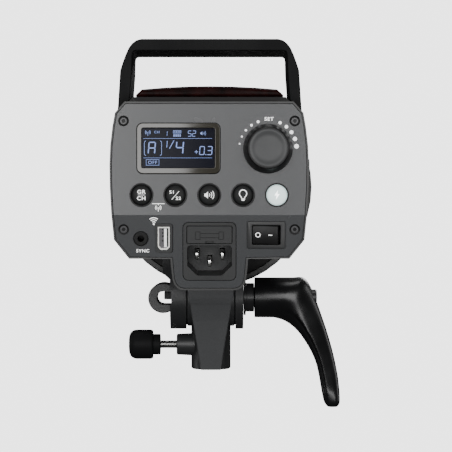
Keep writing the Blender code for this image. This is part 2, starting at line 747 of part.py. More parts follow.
def sync_socket():
    profile = [(0, -10), (1.8, -10), (1.8, 1.2), (3.6, 1.2), (4.2, 0.8), (4.2, 0.3), (3.4, 0.3), (3.4, -12),
               (0, -12)]
    return turned("sync_socket", profile, BACK_LEANING, lower_place(SYNC_X, SYNC_V), FINE)


def well_outline():
    """Mains inlet recess: round corners above, slanted ones below."""
    left, right, bottom, top = WELL
    slant = 5.4
    points = arc((right - 1.8, top - 1.8), 1.8, 0, 90, 3) + arc((left + 1.8, top - 1.8), 1.8, 90, 180, 3)
    points += [(left, bottom + slant), (left + slant, bottom)]
    points += [(right - slant, bottom), (right, bottom + slant)]
    return points


def inlet():
    """Mains inlet block with its recess, three blades and the fuse drawer above."""
    block = leaning_plate("inlet_housing", [rounded_box(*INLET, 3.0)], -24, 0.3)
    cut(block, leaning_plate("cut_well", [well_outline()], -17, 2))
    slot = rounded_box(DRAWER[0] - GAP, DRAWER[1] + GAP, DRAWER[2] - GAP, DRAWER[3] + GAP, 0.6, 1)
    cut(block, leaning_plate("cut_drawer_bay", [slot], -20, 2))
    for name, dx, v in PINS:
        slit = rounded_box(INLET_MID + dx - 1.3, INLET_MID + dx + 1.3, v - 2.3, v + 2.3, 0.2, 1)
        cut(block, leaning_plate("cut_" + name, [slit], -26, -16))
        blade = [(-1.0, -2.0), (1.0, -2.0), (1.0, 2.0), (-1.0, 2.0)]
        x = INLET_MID + dx
        pin = leaning_plate(name, [[(x + a, v + b) for a, b in blade]], -30, -2.5)
        bevel(pin, 0.5, 2)


def fuse_drawer():
    """Drawer that slides out of the inlet, and the fuse lying across it."""
    left, right, bottom, top = DRAWER
    drawer = leaning_plate("fuse_drawer", [rounded_box(left, right, bottom, top, 0.5, 2)], -18, 0.5)
    tray = leaning_plate("cut_tray", [rounded_box(left + 1.2, right - 1.2, bottom + 1.2, top + 2, 0.3, 1)],
                         -16.5, -2.4)
    notch_outline = rounded_box(INLET_MID - 2.2, INLET_MID + 2.2, bottom - 1, bottom + 1.3, 0.2, 1)
    notch = leaning_plate("cut_notch", [notch_outline], -1.2, 2)
    cut(drawer, tray, notch)
    place = lower_place(INLET_MID, (bottom + top) / 2, -9.4)
    fuse = [(0, 10.0), (2.6, 10.0), (2.6, 5.0), (2.3, 5.0), (2.3, -5.0), (2.6, -5.0), (2.6, -10.0),
            (0, -10.0)]
    turned("fuse", fuse, RIGHT, place, 20)


def rocker_switch():
    """Snap-in rocker switch, resting with its left side pressed."""
    mouth = rounded_box(SWITCH_X - 7.8, SWITCH_X + 7.8, SWITCH_V - 5.4, SWITCH_V + 5.4, 0.4, 1)
    outer = rounded_box(SWITCH_X - 10.45, SWITCH_X + 10.45, SWITCH_V - 7.55, SWITCH_V + 7.55, 0.9, 3)
    body = rounded_box(SWITCH_X - 9.4, SWITCH_X + 9.4, SWITCH_V - 6.4, SWITCH_V + 6.4, 0.6, 1)
    housing = leaning_plate("switch_housing", [outer], 0.3, 1.7)
    bevel(housing, 0.4, 2)
    join(housing, leaning_plate("switch_body", [body], -16, 1.0))
    cut(housing, leaning_plate("cut_switch_mouth", [mouth], -10, 3))
    half = 7.1
    outline = [(-half, 3.4), (0, 2.0), (half, 3.4)] + arc((0, 0), half, -8, -172, 8)
    cap = plate("switch_rocker", [outline], -5.1, 5.1)
    outward = Matrix.Rotation(math.pi + LEAN, 4, "X")
    cap.rotation_euler = (outward @ Matrix.Rotation(ROCKER_REST, 4, "Z")).to_euler()
    cap.location = [value * MM for value in lower_place(SWITCH_X, SWITCH_V, -1.0)]
    return bevel(cap, 0.35, 2)


# ---------------------------------------------------------------- stand bracket

def rib(name, side):
    """Tapered web from the knuckle down the socket, on the rear (-1) or front (+1) side."""
    outline = [(side * 5.0, 0.0), (side * 12.8, 0.0), (side * 13.2, 29.6), (side * 17.3, 41.5),
               (side * 5.0, 41.5)]
    web = side_plate(name, outline, -1.0, 1.0)
    for vert in web.data.vertices:
        height = -vert.co.x / MM
        vert.co.z *= 5.9 + 6.85 * height / 40.0
    return web


def stand_adapter():
    """Knuckle over a blind socket, with a boss for the clamp screw."""
    knuckle = [(0, KNUCKLE_HALF), (16.7, KNUCKLE_HALF), (KNUCKLE_R, 13.8), (KNUCKLE_R, -13.8),
               (16.7, -KNUCKLE_HALF), (0, -KNUCKLE_HALF)]
    adapter = turned("stand_adapter", knuckle, RIGHT, (0, 0, TILT_Z), 32)
    socket = [(0, 42), (SOCKET_R, 42), (SOCKET_R, 0.8), (SOCKET_R - 0.8, 0), (0, 0)]
    boss = [(0, 20.9), (5.9, 20.9), (6.4, 20.4), (7.0, 9.0), (0, 9.0)]
    join(adapter, turned("socket_tube", socket, steps=28), rib("rear_rib", -1), rib("front_rib", 1),
         turned("clamp_boss", boss, LEFT, (0, 0, CLAMP_Z), 20))
    bore = [(0, BORE_DEPTH), (BORE_R, BORE_DEPTH), (BORE_R, 0.7), (BORE_R + 0.8, -0.1), (0, -0.1)]
    cut(adapter, turned("cut_bore", bore, steps=24),
        rod("cut_clamp_way", 2.8, 5.0, 30.0, LEFT, (0, 0, CLAMP_Z)),
        rod("cut_stud_way", DISC_HOLE_R, -30, 30, RIGHT, (0, 0, TILT_Z)))
    for side, rotation in (("left", LEFT), ("right", RIGHT)):
        cut(adapter, rod("cut_disc_seat_" + side, 12.0, 13.4, 20.0, rotation, (0, 0, TILT_Z), 24))
        disc = [(DISC_HOLE_R, 14.7), (11.7, 14.7), (11.7, 13.7), (DISC_HOLE_R, 13.7)]
        turned("friction_disc_" + side, disc, rotation, (0, 0, TILT_Z), 24, ring=True)


def stand_clamp():
    """Pressure pad, screw and knob that lock the socket on a spigot."""
    place = (0, 0, CLAMP_Z)
    rod("clamp_pad", 2.3, 7.9, 10.2, LEFT, place)
    screw = [(0, 46.0), (2.5, 46.0), (2.5, 11.0), (2.0, 10.5), (0, 10.5)]
    turned("clamp_screw", screw, LEFT, place, FINE)
    knob = [(0, 50.2), (5.0, 50.0), (7.4, 49.0), (8.7, 47.2), (9.0, 45.0), (9.0, 36.6), (8.4, 35.4),
            (6.3, 35.2), (6.3, 31.2), (5.9, 30.8), (2.8, 30.8), (2.8, 46.3), (0, 46.3)]
    turned("clamp_knob", knob, LEFT, place, 20)


def yoke():
    """Bracket under the barrel: two ears round the knuckle and the umbrella tube."""
    front = [(-28.8, 69.5), (22.2, 69.5), (22.2, 61.0), (19.7, 57.0), (19.7, 20.0), (15.0, 20.0),
             (15.0, 63.2), (-15.0, 63.2), (-15.0, 20.0), (-24.6, 20.0), (-24.6, 55.0), (-28.8, 59.0)]
    bracket = plate("yoke", [front], -26, 26, BACK)
    ear = arc((0, TILT_Z), EAR_R, 180, 360, 20)
    ear += [(EAR_R, 50), (24, 64), (24, 75), (-24, 75), (-24, 64), (-EAR_R, 50)]
    combine(bracket, "INTERSECT", [side_plate("ear_shape", ear, -40, 40)])
    tube = [(0, 14), (8.5, 14), (9.1, 13.4), (9.1, -13.4), (8.5, -14), (0, -14)]
    join(bracket, turned("umbrella_tube", tube, BACK, (UMBRELLA_X, 0, TILT_Z), 32))
    flat_low = (UMBRELLA_X, -20, TILT_Z - UMBRELLA_BORE_R)
    flat_high = (-23.8, 20, TILT_Z + UMBRELLA_BORE_R)
    cut(bracket, rod("cut_umbrella", UMBRELLA_BORE_R, -20, 20, BACK, (UMBRELLA_X, 0, TILT_Z)),
        box("cut_umbrella_flat", flat_low, flat_high),
        box("cut_plunger_way", (-26.0, -5.4, 42.1), (-19.8, 5.4, 47.5)),
        rod("cut_yoke_stud", DISC_HOLE_R, -19.2, 30, RIGHT, (0, 0, TILT_Z)))
    return bracket


def umbrella_plunger():
    """Sprung block that grips an umbrella shaft."""
    return box("umbrella_plunger", (-28.5, -5.0, 42.4), (-23.0, 5.0, 47.2), round_by=0.4, segments=1)


def tilt_stud():
    """Clamp stud with its flange and the splined core that the lever rides on."""
    profile = [(0, 40.0), (2.3, 40.0), (2.3, 50.0), (6.0, 50.0), (6.0, 26.3), (8.75, 26.3), (8.75, 21.3),
               (10.9, 21.3), (10.9, 20.0), (STUD_R, 20.0), (STUD_R, -18.4), (3.6, -18.8), (0, -18.8)]
    turned("tilt_stud", profile, RIGHT, (0, 0, TILT_Z), 20)
    cap = [(0, 64.7), (4.2, 64.7), (4.85, 64.1), (4.85, 58.6), (2.0, 58.6), (2.0, 41.0), (0, 41.0)]
    turned("lever_cap_screw", cap, RIGHT, (0, 0, TILT_Z), FINE)


def lever_section(outer, inner, half_y, squareness, count=20):
    """Closed section between an outer and an inner edge point, half_y thick to each side."""
    (ox, oz), (ix, iz) = outer, inner
    middle_x, middle_z = (ox + ix) / 2, (oz + iz) / 2
    points = []
    for i in range(count):
        angle = math.tau * i / count
        c, s = math.cos(angle), math.sin(angle)
        along = math.copysign(abs(c) ** (2 / squareness), c)
        across = math.copysign(abs(s) ** (2 / squareness), s)
        x = middle_x + along * (ox - ix) / 2
        z = middle_z + along * (oz - iz) / 2
        points.append((x, across * half_y, z))
    return points


def lever_handle():
    """Ratchet handle: a round hub that sweeps down into a flat curved arm."""
    stations = [((26.6, 55.7), (26.6, 31.3), HUB_R, 2.0), ((50.0, 55.7), (38.5, 31.2), HUB_R, 2.0),
                ((57.0, 55.4), (44.5, 29.4), 12.0, 2.1), ((61.6, 48.8), (49.8, 26.0), 11.4, 2.3),
                ((65.2, 39.6), (54.5, 21.6), 10.6, 2.5), ((68.3, 30.8), (58.6, 16.0), 9.8, 2.8),
                ((71.4, 21.4), (62.0, 10.4), 9.2, 3.0), ((74.9, 8.8), (65.0, 3.4), 8.6, 3.2),
                ((77.1, -2.7), (66.9, -4.6), 8.2, 3.2), ((78.9, -15.8), (68.6, -15.0), 7.9, 3.2),
                ((78.9, -21.4), (69.7, -21.4), 7.4, 3.0), ((77.6, -23.3), (71.0, -23.3), 5.8, 2.6)]
    lever = loft("lever_handle", [lever_section(*station) for station in stations], caps=True)
    bore = [(0, 75), (5.3, 75), (5.3, 53.0), (3.0, 53.0), (3.0, 50.3), (6.3, 50.3), (6.3, 20.0), (0, 20.0)]
    return cut(lever, turned("cut_lever_bore", bore, RIGHT, (0, 0, TILT_Z), FINE))


# ---------------------------------------------------------------- materials

FINISHES = {
    "cover_black": ((0.045, 0.045, 0.043), 0.5, 0.0),
    "cast_black": ((0.035, 0.036, 0.038), 0.42, 0.0),
    "panel_grey": ((0.155, 0.16, 0.165), 0.5, 0.0),
    "smoked_red": ((0.05, 0.008, 0.008), 0.15, 0.0),
    "bright_metal": ((0.75, 0.75, 0.76), 0.25, 1.0),
    "dark_metal": ((0.12, 0.12, 0.12), 0.35, 1.0),
    "brass": ((0.6, 0.48, 0.25), 0.35, 1.0),
    "white_plastic": ((0.7, 0.72, 0.74), 0.4, 0.0),
    "black_plastic": ((0.02, 0.02, 0.021), 0.4, 0.0),
    "glass": ((0.85, 0.87, 0.85), 0.1, 0.0),
    "circuit": ((0.02, 0.12, 0.05), 0.5, 0.0),
    "screen": ((0.02, 0.025, 0.04), 0.1, 0.0),
}

FINISH_OF = {
    "panel_grey": ("rear_panel",),
    "smoked_red": ("sensor_window",),
    "bright_metal": ("pin_", "clamp_screw", "reflector_plate", "usb_socket", "capacitor", "fuse",
                     "dial_shaft", "display_bezel", "friction_disc"),
    "dark_metal": ("panel_screw", "tilt_stud", "lever_cap_screw", "handle_bolt", "bayonet_plate"),
    "brass": ("clamp_pad",),
    "white_plastic": ("button_test", "lamp_socket"),
    "black_plastic": ("switch_", "inlet_housing", "fuse_drawer", "fan_", "encoder", "clamp_knob",
                      "umbrella_plunger", "mount_release", "dial_knob", "button_", "sync_socket"),
    "glass": ("flash_tube", "modelling_lamp"),
    "circuit": ("control_board", "power_board", "photocell", "trigger_coil"),
    "screen": ("display_module",),
    "cast_black": ("stand_adapter", "yoke", "lever_handle"),
    "cover_black": ("upper_housing", "lower_housing", "handle", "front_ring"),
}


def finish_for(name):
    matches = [(len(prefix), finish) for finish, prefixes in FINISH_OF.items() for prefix in prefixes
               if name.startswith(prefix)]
    return max(matches)[1]


def add_material(obj):
    """Each part has its own Principled material in its finish."""
    colour, roughness, metallic = FINISHES[finish_for(obj.name)]
    material = bpy.data.materials.new(obj.name)
    material.use_nodes = True
    shader = material.node_tree.nodes["Principled BSDF"]
    shader.inputs["Base Color"].default_value = (*colour, 1.0)
    shader.inputs["Roughness"].default_value = roughness
    shader.inputs["Metallic"].default_value = metallic
    obj.data.materials.append(material)


def build():
    clear_scene()
    bracket = (stand_adapter, stand_clamp, yoke, umbrella_plunger, tilt_stud, lever_handle)
    casing = (upper_housing, lower_housing, rear_panel, panel_screws, sensor_window, photocell, handle,
              handle_bolts)
    front_end = (front_ring, bayonet_plate, mount_release, reflector_plate, flash_tube, lamp_socket,
                 modelling_lamp)
    inside = (fan_frame, fan_rotor, inner_parts)
    fittings = (display_bezel, display_module, buttons, dial, usb_socket, sync_socket, inlet, fuse_drawer,
                rocker_switch)
    for make in (*bracket, *casing, *front_end, *inside, *fittings):
        make()
    for obj in bpy.data.collections[PARTS].objects:
        add_material(obj)


build()
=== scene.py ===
"""Looks of a monolight strobe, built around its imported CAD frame.

Lengths are in millimetres, and the helpers convert them to metres. +X is to the right of someone
facing the control panel, +Y is the flash's aim and +Z is up.
"""

import json
import math

import bmesh
import bpy
from mathutils import Matrix, Vector


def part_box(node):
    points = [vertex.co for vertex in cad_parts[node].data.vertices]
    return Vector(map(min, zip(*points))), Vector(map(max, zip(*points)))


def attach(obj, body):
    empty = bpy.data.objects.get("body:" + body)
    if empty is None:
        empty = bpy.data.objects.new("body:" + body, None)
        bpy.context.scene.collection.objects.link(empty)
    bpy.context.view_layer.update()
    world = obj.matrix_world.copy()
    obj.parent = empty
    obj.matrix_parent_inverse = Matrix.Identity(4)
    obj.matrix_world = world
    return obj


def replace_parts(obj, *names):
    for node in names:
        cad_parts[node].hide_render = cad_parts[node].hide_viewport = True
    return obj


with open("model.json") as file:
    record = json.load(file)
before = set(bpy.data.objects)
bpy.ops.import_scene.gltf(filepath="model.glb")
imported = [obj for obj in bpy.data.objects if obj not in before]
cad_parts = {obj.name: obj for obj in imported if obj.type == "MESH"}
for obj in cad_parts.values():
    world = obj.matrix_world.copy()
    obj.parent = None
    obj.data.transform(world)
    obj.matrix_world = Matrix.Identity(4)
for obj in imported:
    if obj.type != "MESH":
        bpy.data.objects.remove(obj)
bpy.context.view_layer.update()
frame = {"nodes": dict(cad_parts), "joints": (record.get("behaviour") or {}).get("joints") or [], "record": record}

MM = 0.001
RECORD = frame["record"]
BODY_OF = {node: body for body, nodes in RECORD["behaviour"]["bodies"].items() for node in nodes}
SLOT_OF = {part["node"]: part["material_slot"] for part in RECORD["subparts"]}
JOINTS = {joint["name"]: joint for joint in frame["joints"]}


def box_of(node):
    """Low and high corners of a CAD node, in millimetres."""
    low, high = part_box(node)
    return Vector(low) / MM, Vector(high) / MM


def middle_of(node):
    low, high = box_of(node)
    return (low + high) / 2


# Places read from the frame
PANEL_Y = box_of("rear_panel")[0].y
DIAL_X, _, DIAL_Z = middle_of("dial_knob")
SWITCH = JOINTS["power_switch"]
UP_FACE = Vector(SWITCH["axis"])                       # up the leaning lower panel
OUT_OF_FACE = Vector((0.0, -UP_FACE.z, UP_FACE.y))     # out of it, towards the viewer
KINK = Vector((0.0, PANEL_Y, 93.1))                    # where the panel starts to lean
BUTTONS = ("button_group", "button_slave", "button_beep", "button_lamp", "button_test")
TO_VIEWER = Vector((0, -1, 0))

# Measured from the photo
LOW_SCREWS_Z = 85.2
DOTS_RADIUS = 15.7          # of the row of dots round the dial

# How finely things are made
BROAD_GRAIN = 60            # size of the broad noise against the fine one
STROKE_STEP = 0.4           # longest step of a line that follows a dome
CAPITAL = 0.72              # height of capitals against the font's size
LETTER_SPACE = 1.12
LETTER_STRETCH = 1.12
CAD_WELD = 0.004 * MM       # vertices closer than this are one, on the CAD's meshes
MARK_WELD = 0.0005 * MM     # and on marks
LEVEL_SLACK = 0.02 * MM     # how far a face may stray from a level


# ---------------------------------------------------------------- materials

def noise_at(tree, size, stretch=(1, 1, 1), detail=4.0):
    """Noise whose grains are about size millimetres across."""
    place = tree.nodes.new("ShaderNodeTexCoord")
    mapping = tree.nodes.new("ShaderNodeMapping")
    mapping.inputs["Scale"].default_value = [amount / (size * MM) for amount in stretch]
    noise = tree.nodes.new("ShaderNodeTexNoise")
    noise.inputs["Scale"].default_value = 1.0
    noise.inputs["Detail"].default_value = detail
    tree.links.new(place.outputs["Object"], mapping.inputs["Vector"])
    tree.links.new(mapping.outputs["Vector"], noise.inputs["Vector"])
    return noise.outputs["Fac"]


def ramp(tree, source, low, high, start=0.3, stop=0.7):
    """Colours from low to high as the source runs from start to stop."""
    node = tree.nodes.new("ShaderNodeValToRGB")
    node.color_ramp.elements[0].position = start
    node.color_ramp.elements[1].position = stop
    node.color_ramp.elements[0].color = (*low, 1.0)
    node.color_ramp.elements[1].color = (*high, 1.0)
    tree.links.new(source, node.inputs["Fac"])
    return node.outputs["Color"]


def spread(tree, source, low, high, start=0.3, stop=0.7):
    """Values from low to high as the source runs from start to stop."""
    node = tree.nodes.new("ShaderNodeMapRange")
    for socket, value in (("From Min", start), ("From Max", stop), ("To Min", low), ("To Max", high)):
        node.inputs[socket].default_value = value
    tree.links.new(source, node.inputs["Value"])
    return node.outputs["Result"]


def finish(name, colour, roughness, size, depth, shade=0.12, gloss=0.07, stretch=(1, 1, 1), **sockets):
    """Principled material with grain: relief, and shifts of colour and gloss at two scales.

    size and depth are the grain's, in millimetres. shade and gloss say how far the colour and the
    roughness wander either side of the values given.
    """
    material = bpy.data.materials.new(name)
    material.use_nodes = True
    tree = material.node_tree
    shader = tree.nodes["Principled BSDF"]
    shader.inputs["Base Color"].default_value = (*colour, 1.0)
    shader.inputs["Roughness"].default_value = roughness
    for socket, value in sockets.items():
        shader.inputs[socket.replace("_", " ")].default_value = value
    fine = noise_at(tree, size, stretch)
    broad = noise_at(tree, size * BROAD_GRAIN, detail=2.0)
    bump = tree.nodes.new("ShaderNodeBump")
    bump.inputs["Distance"].default_value = depth * MM
    tree.links.new(fine, bump.inputs["Height"])
    tree.links.new(bump.outputs["Normal"], shader.inputs["Normal"])
    low = [value * (1 - shade) for value in colour]
    high = [value * (1 + shade) for value in colour]
    tree.links.new(ramp(tree, fine, low, high), shader.inputs["Base Color"])
    tree.links.new(spread(tree, broad, roughness - gloss, roughness + gloss), shader.inputs["Roughness"])
    return material


def edge_wear_and_highlight(material, radius, colour, amount=0.5):
    """Lightens outer edges: wear where handling has polished them, and a painted highlight along them."""
    tree = material.node_tree
    shader = tree.nodes["Principled BSDF"]
    base = shader.inputs["Base Color"].links[0].from_socket
    rounded = tree.nodes.new("ShaderNodeBevel")
    rounded.inputs["Radius"].default_value = radius * MM
    rounded.samples = 4
    geometry = tree.nodes.new("ShaderNodeNewGeometry")
    facing = tree.nodes.new("ShaderNodeVectorMath")
    facing.operation = "DOT_PRODUCT"
    tree.links.new(rounded.outputs["Normal"], facing.inputs[0])
    tree.links.new(geometry.outputs["Normal"], facing.inputs[1])
    edge = spread(tree, facing.outputs["Value"], amount, 0.0, 0.93, 0.995)
    patch = spread(tree, noise_at(tree, 3.0), 0.2, 1.0, 0.4, 0.6)
    both = tree.nodes.new("ShaderNodeMath")
    both.operation = "MULTIPLY"
    tree.links.new(edge, both.inputs[0])
    tree.links.new(patch, both.inputs[1])
    mix = tree.nodes.new("ShaderNodeMix")
    mix.data_type = "RGBA"
    mix.inputs["B"].default_value = (*colour, 1.0)
    tree.links.new(both.outputs["Value"], mix.inputs["Factor"])
    tree.links.new(base, mix.inputs["A"])
    tree.links.new(mix.outputs["Result"], shader.inputs["Base Color"])
    return material


GLOW = (1.0, 1.0, 1.0, 1.0)

# Colour, roughness, size and depth of the grain in millimetres, and where they differ from the
# usual, shade, gloss and stretch; then the shader's other sockets.
FINISHES = {
    "panel_paint": (((0.033, 0.0342, 0.036), 0.27, 0.3, 0.008, 0.08, 0.004), {"Specular_IOR_Level": 0.4}),
    "cover_paint": (((0.03, 0.03, 0.03), 0.45, 0.45, 0.03, 0.15, 0.02), {"Specular_IOR_Level": 0.35}),
    "cast_paint": (((0.013, 0.0133, 0.0138), 0.4, 0.55, 0.03, 0.2, 0.03), {"Specular_IOR_Level": 0.35}),
    "nylon": (((0.004, 0.0041, 0.0044), 0.29, 0.3, 0.012, 0.15), {"Specular_IOR_Level": 0.37}),
    "black_plastic": (((0.006, 0.006, 0.0062), 0.42, 0.25, 0.008), {"Specular_IOR_Level": 0.2}),
    "button_rubber": (((0.0095, 0.0099, 0.0099), 0.5, 0.2, 0.008), {"Specular_IOR_Level": 0.17}),
    "test_button": (((0.56, 0.66, 0.65), 0.4, 0.4, 0.003, 0.03),
                    {"Emission_Color": (0.7, 0.86, 0.86, 1.0), "Emission_Strength": 0.75}),
    "smoked_plastic": (((0.006, 0.0012, 0.0011), 0.3, 9.0, 0.004, 0.9, 0.03), {"Specular_IOR_Level": 0.04}),
    "bezel_metal": (((0.022, 0.02, 0.015), 0.055, 0.3, 0.0001, 0.05, 0.01, (0.1, 1, 1)),
                    {"Specular_IOR_Level": 0.55}),
    "screen": (((0.005, 0.0055, 0.01), 0.12, 0.12, 0.0008, 0.25, 0.02), {"Specular_IOR_Level": 0.06}),
    "nickel": (((0.72, 0.72, 0.7), 0.2, 0.2, 0.003, 0.05, 0.05), {"Metallic": 1.0}),
    "steel": (((0.55, 0.55, 0.54), 0.28, 0.15, 0.004, 0.08, 0.06), {"Metallic": 1.0}),
    "black_steel": (((0.01, 0.01, 0.0105), 0.34, 0.2, 0.006), {"Specular_IOR_Level": 0.4}),
    "brass": (((0.62, 0.46, 0.2), 0.3, 0.2, 0.004), {"Metallic": 1.0}),
    "reflector": (((0.86, 0.86, 0.85), 0.16, 0.9, 0.02, 0.04), {"Metallic": 1.0}),
    "tube_glass": (((0.95, 0.96, 0.95), 0.06, 2.0, 0.002, 0.02, 0.02), {"Transmission_Weight": 0.9}),
    "lamp_glass": (((0.93, 0.92, 0.88), 0.42, 0.3, 0.004, 0.03), {"Transmission_Weight": 0.6}),
    "ceramic": (((0.72, 0.7, 0.66), 0.35, 0.5, 0.008, 0.05), {}),
    "circuit": (((0.015, 0.09, 0.04), 0.4, 1.2, 0.02, 0.35, 0.07, (1, 0.15, 1)), {}),
    "capacitor_sleeve": (((0.02, 0.02, 0.035), 0.25, 2.0, 0.01), {}),
    "copper": (((0.5, 0.22, 0.09), 0.3, 0.4, 0.04, 0.15, 0.05, (0.1, 0.1, 1)), {"Metallic": 1.0}),
    # details that share a slot with one of the above
    "dial_face": (((0.036, 0.0368, 0.0376), 0.42, 0.3, 0.004, 0.06), {"Specular_IOR_Level": 0.33}),
    "lit_white": (((0.9, 0.9, 0.9), 0.5, 0.15, 0.002, 0.03),
                  {"Emission_Color": GLOW, "Emission_Strength": 3.0}),
    "handle_plastic": (((0.0055, 0.0056, 0.0058), 0.5, 0.35, 0.015, 0.15), {"Specular_IOR_Level": 0.06}),
    "screw_black": (((0.05, 0.05, 0.052), 0.3, 0.2, 0.004), {"Specular_IOR_Level": 0.3}),
    "port_grey": (((0.055, 0.053, 0.058), 0.45, 0.2, 0.004, 0.06), {}),
    # the bracket's cast paint made lighter for the rib's face: painted light
    "rib_paint_lit": (((0.034, 0.0348, 0.036), 0.45, 0.5, 0.02, 0.12), {"Specular_IOR_Level": 0.1}),
    # printed legends given an emission though they are no lamp: painted light
    "legend_white_painted_glow": (((0.9, 0.9, 0.89), 0.5, 0.15, 0.003, 0.05),
                     {"Emission_Color": GLOW, "Emission_Strength": 0.7}),
    "socket_plastic": (((0.024, 0.0244, 0.0248), 0.4, 0.3, 0.008, 0.1), {"Specular_IOR_Level": 0.25}),
    "port_white": (((0.85, 0.86, 0.85), 0.35, 0.3, 0.003, 0.04), {}),
    "port_shell": (((0.85, 0.84, 0.8), 0.5, 0.2, 0.003, 0.05, 0.05), {"Metallic": 0.85}),
    "segment_blue": (((0.12, 0.17, 0.36), 0.4, 0.15, 0.002, 0.08),
                     {"Emission_Color": (0.23, 0.38, 0.95, 1.0), "Emission_Strength": 0.38}),
}


def make_materials():
    """One material for each of the record's slots, and some for details that share a slot."""
    made = {name: finish(name, *row, **options) for name, (row, options) in FINISHES.items()}
    # lighter rounded edges on both paints: part wear, part painted highlight
    edge_wear_and_highlight(made["cover_paint"], 0.5, (0.07, 0.07, 0.07), 0.4)
    edge_wear_and_highlight(made["cast_paint"], 0.6, (0.06, 0.06, 0.062), 0.4)
    return made


MATERIALS = make_materials()


# ---------------------------------------------------------------- building pieces

def add_piece(name, mesh, material, body):
    """Links a mesh given in the row frame and makes it ride on a body."""
    piece = bpy.data.objects.new(name, mesh)
    bpy.context.scene.collection.objects.link(piece)
    mesh.materials.clear()
    mesh.materials.append(MATERIALS[material])
    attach(piece, body)
    return piece


def finish_edges(mesh, sharp):
    """Smooth faces that stay crisp where they meet at more than sharp degrees."""
    bm = bmesh.new()
    bm.from_mesh(mesh)
    for face in bm.faces:
        face.smooth = True
    for edge in bm.edges:
        edge.smooth = len(edge.link_faces) != 2 or edge.calc_face_angle(0.0) < math.radians(sharp)
    bm.to_mesh(mesh)
    bm.free()


def new_mesh(bm, name, sharp=None):
    """Turns a bmesh into a mesh with outward normals, smooth over angles up to sharp degrees."""
    bm.normal_update()
    bmesh.ops.recalc_face_normals(bm, faces=bm.faces)
    mesh = bpy.data.meshes.new(name)
    bm.to_mesh(mesh)
    bm.free()
    if sharp:
        finish_edges(mesh, sharp)
    return mesh


def circle(bm, centre, axis, radius, steps):
    """Ring of vertices round an axis."""
    side = axis.orthogonal().normalized()
    across = axis.cross(side)
    angles = [math.tau * i / steps for i in range(steps)]
    return [bm.verts.new((centre + radius * (side * math.cos(a) + across * math.sin(a))) * MM)
            for a in angles]


def skin(bm, rings):
    """Faces between rings of vertices, and one across each end."""
    count = len(rings[0])
    for near, far in zip(rings, rings[1:]):
        for i in range(count):
            j = (i + 1) % count
            bm.faces.new((near[i], near[j], far[j], far[i]))
    bm.faces.new(rings[0])
    bm.faces.new(rings[-1])


def round_edges(piece, width, segments=2, angle=32.0):
    """Rounds the edges that turn by more than angle degrees."""
    modifier = piece.modifiers.new("Edges", "BEVEL")
    modifier.width = width * MM
    modifier.segments = segments
    modifier.limit_method = "ANGLE"
    modifier.angle_limit = math.radians(angle)
    modifier.harden_normals = True
    return piece


def refined(node, width=0.25, segments=2, sharp=32.0, material=None):
    """A finer stand-in for a CAD node: welded, smooth over its curves and round on its edges."""
    mesh = frame["nodes"][node].data.copy()
    mesh.name = node + "_fine"
    bm = bmesh.new()
    bm.from_mesh(mesh)
    bmesh.ops.remove_doubles(bm, verts=bm.verts, dist=CAD_WELD)
    bmesh.ops.dissolve_limit(bm, angle_limit=math.radians(0.6), verts=bm.verts, edges=bm.edges)
    bm.to_mesh(mesh)
    bm.free()
    mesh.normals_split_custom_set([(0.0, 0.0, 0.0)] * len(mesh.loops))
    finish_edges(mesh, sharp)
    slot = SLOT_OF[node]
    piece = add_piece(node + "_fine", mesh, material or slot, BODY_OF[node])
    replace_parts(piece, node)
    if width:
        round_edges(piece, width, segments, sharp)


def turned_mesh(name, profile, origin, out, steps=96):
    """Solid of revolution. The profile's (radius, height) points run along the direction out."""
    origin, out = Vector(origin), Vector(out).normalized()
    bm = bmesh.new()
    rings = []
    for radius, height in profile:
        centre = origin + out * height
        rings.append(circle(bm, centre, out, radius, steps) if radius else [bm.verts.new(centre * MM)])
    if len(rings[0]) > 1:
        rings.append(rings[0])
    for near, far in zip(rings, rings[1:]):
        for i in range(steps):
            j = (i + 1) % steps
            if len(near) == 1:
                bm.faces.new((near[0], far[i], far[j]))
            elif len(far) == 1:
                bm.faces.new((near[i], far[0], near[j]))
            else:
                bm.faces.new((near[i], far[i], far[j], near[j]))
    return new_mesh(bm, name, 30.0)


def smooth_profile(points, rounds):
    """Profile whose listed corners, {index: radius}, are rounded."""
    result = []
    for index, point in enumerate(points):
        radius = rounds.get(index)
        if not radius:
            result.append(point)
            continue
        here = Vector(point)
        before = (Vector(points[index - 1]) - here).normalized() * radius
        after = (Vector(points[index + 1]) - here).normalized() * radius
        for step in range(5):
            t = step / 4
            bend = here + before * (1 - t) ** 2 + after * t ** 2
            result.append((bend.x, bend.y))
    return result


# ---------------------------------------------------------------- flat marks on a surface

def on_panel(x, z, out):
    """Place on the upper panel, some way out of it."""
    return Vector((x, PANEL_Y - out, z))


def on_lower_panel(x, v, out):
    """v is measured up the leaning face from the kink."""
    return Vector((x, KINK.y, KINK.z)) + UP_FACE * v + OUT_OF_FACE * out


def on_button(centre_x, centre_z):
    """Surface of a button's domed cap, whose crown stands highest at the middle."""
    crown, fall, radius = 1.5, 0.3, 4.4

    def place(x, z, out):
        height = crown - fall * (x * x + z * z) / radius ** 2
        return Vector((centre_x + x, PANEL_Y - height - out, centre_z + z))
    return place


def stepped(points, longest):
    """Points along the same line, no further apart than longest."""
    result = [points[0]]
    for before, after in zip(points, points[1:]):
        count = max(1, math.ceil(math.dist(before, after) / longest))
        for i in range(1, count + 1):
            result.append(tuple(b + (a - b) * i / count for b, a in zip(before, after)))
    return result


def stroke(points, width):
    """Outline of a line of even width through some points, with steps short enough to follow a dome."""
    left, right = [], []
    points = stepped(points, STROKE_STEP)
    for i, point in enumerate(points):
        here = Vector(point)
        before = Vector(points[max(i - 1, 0)])
        after = Vector(points[min(i + 1, len(points) - 1)])
        along = (after - before).normalized()
        normal = Vector((-along.y, along.x)) * width / 2
        left.append(tuple(here + normal))
        right.append(tuple(here - normal))
    return left + right[::-1]


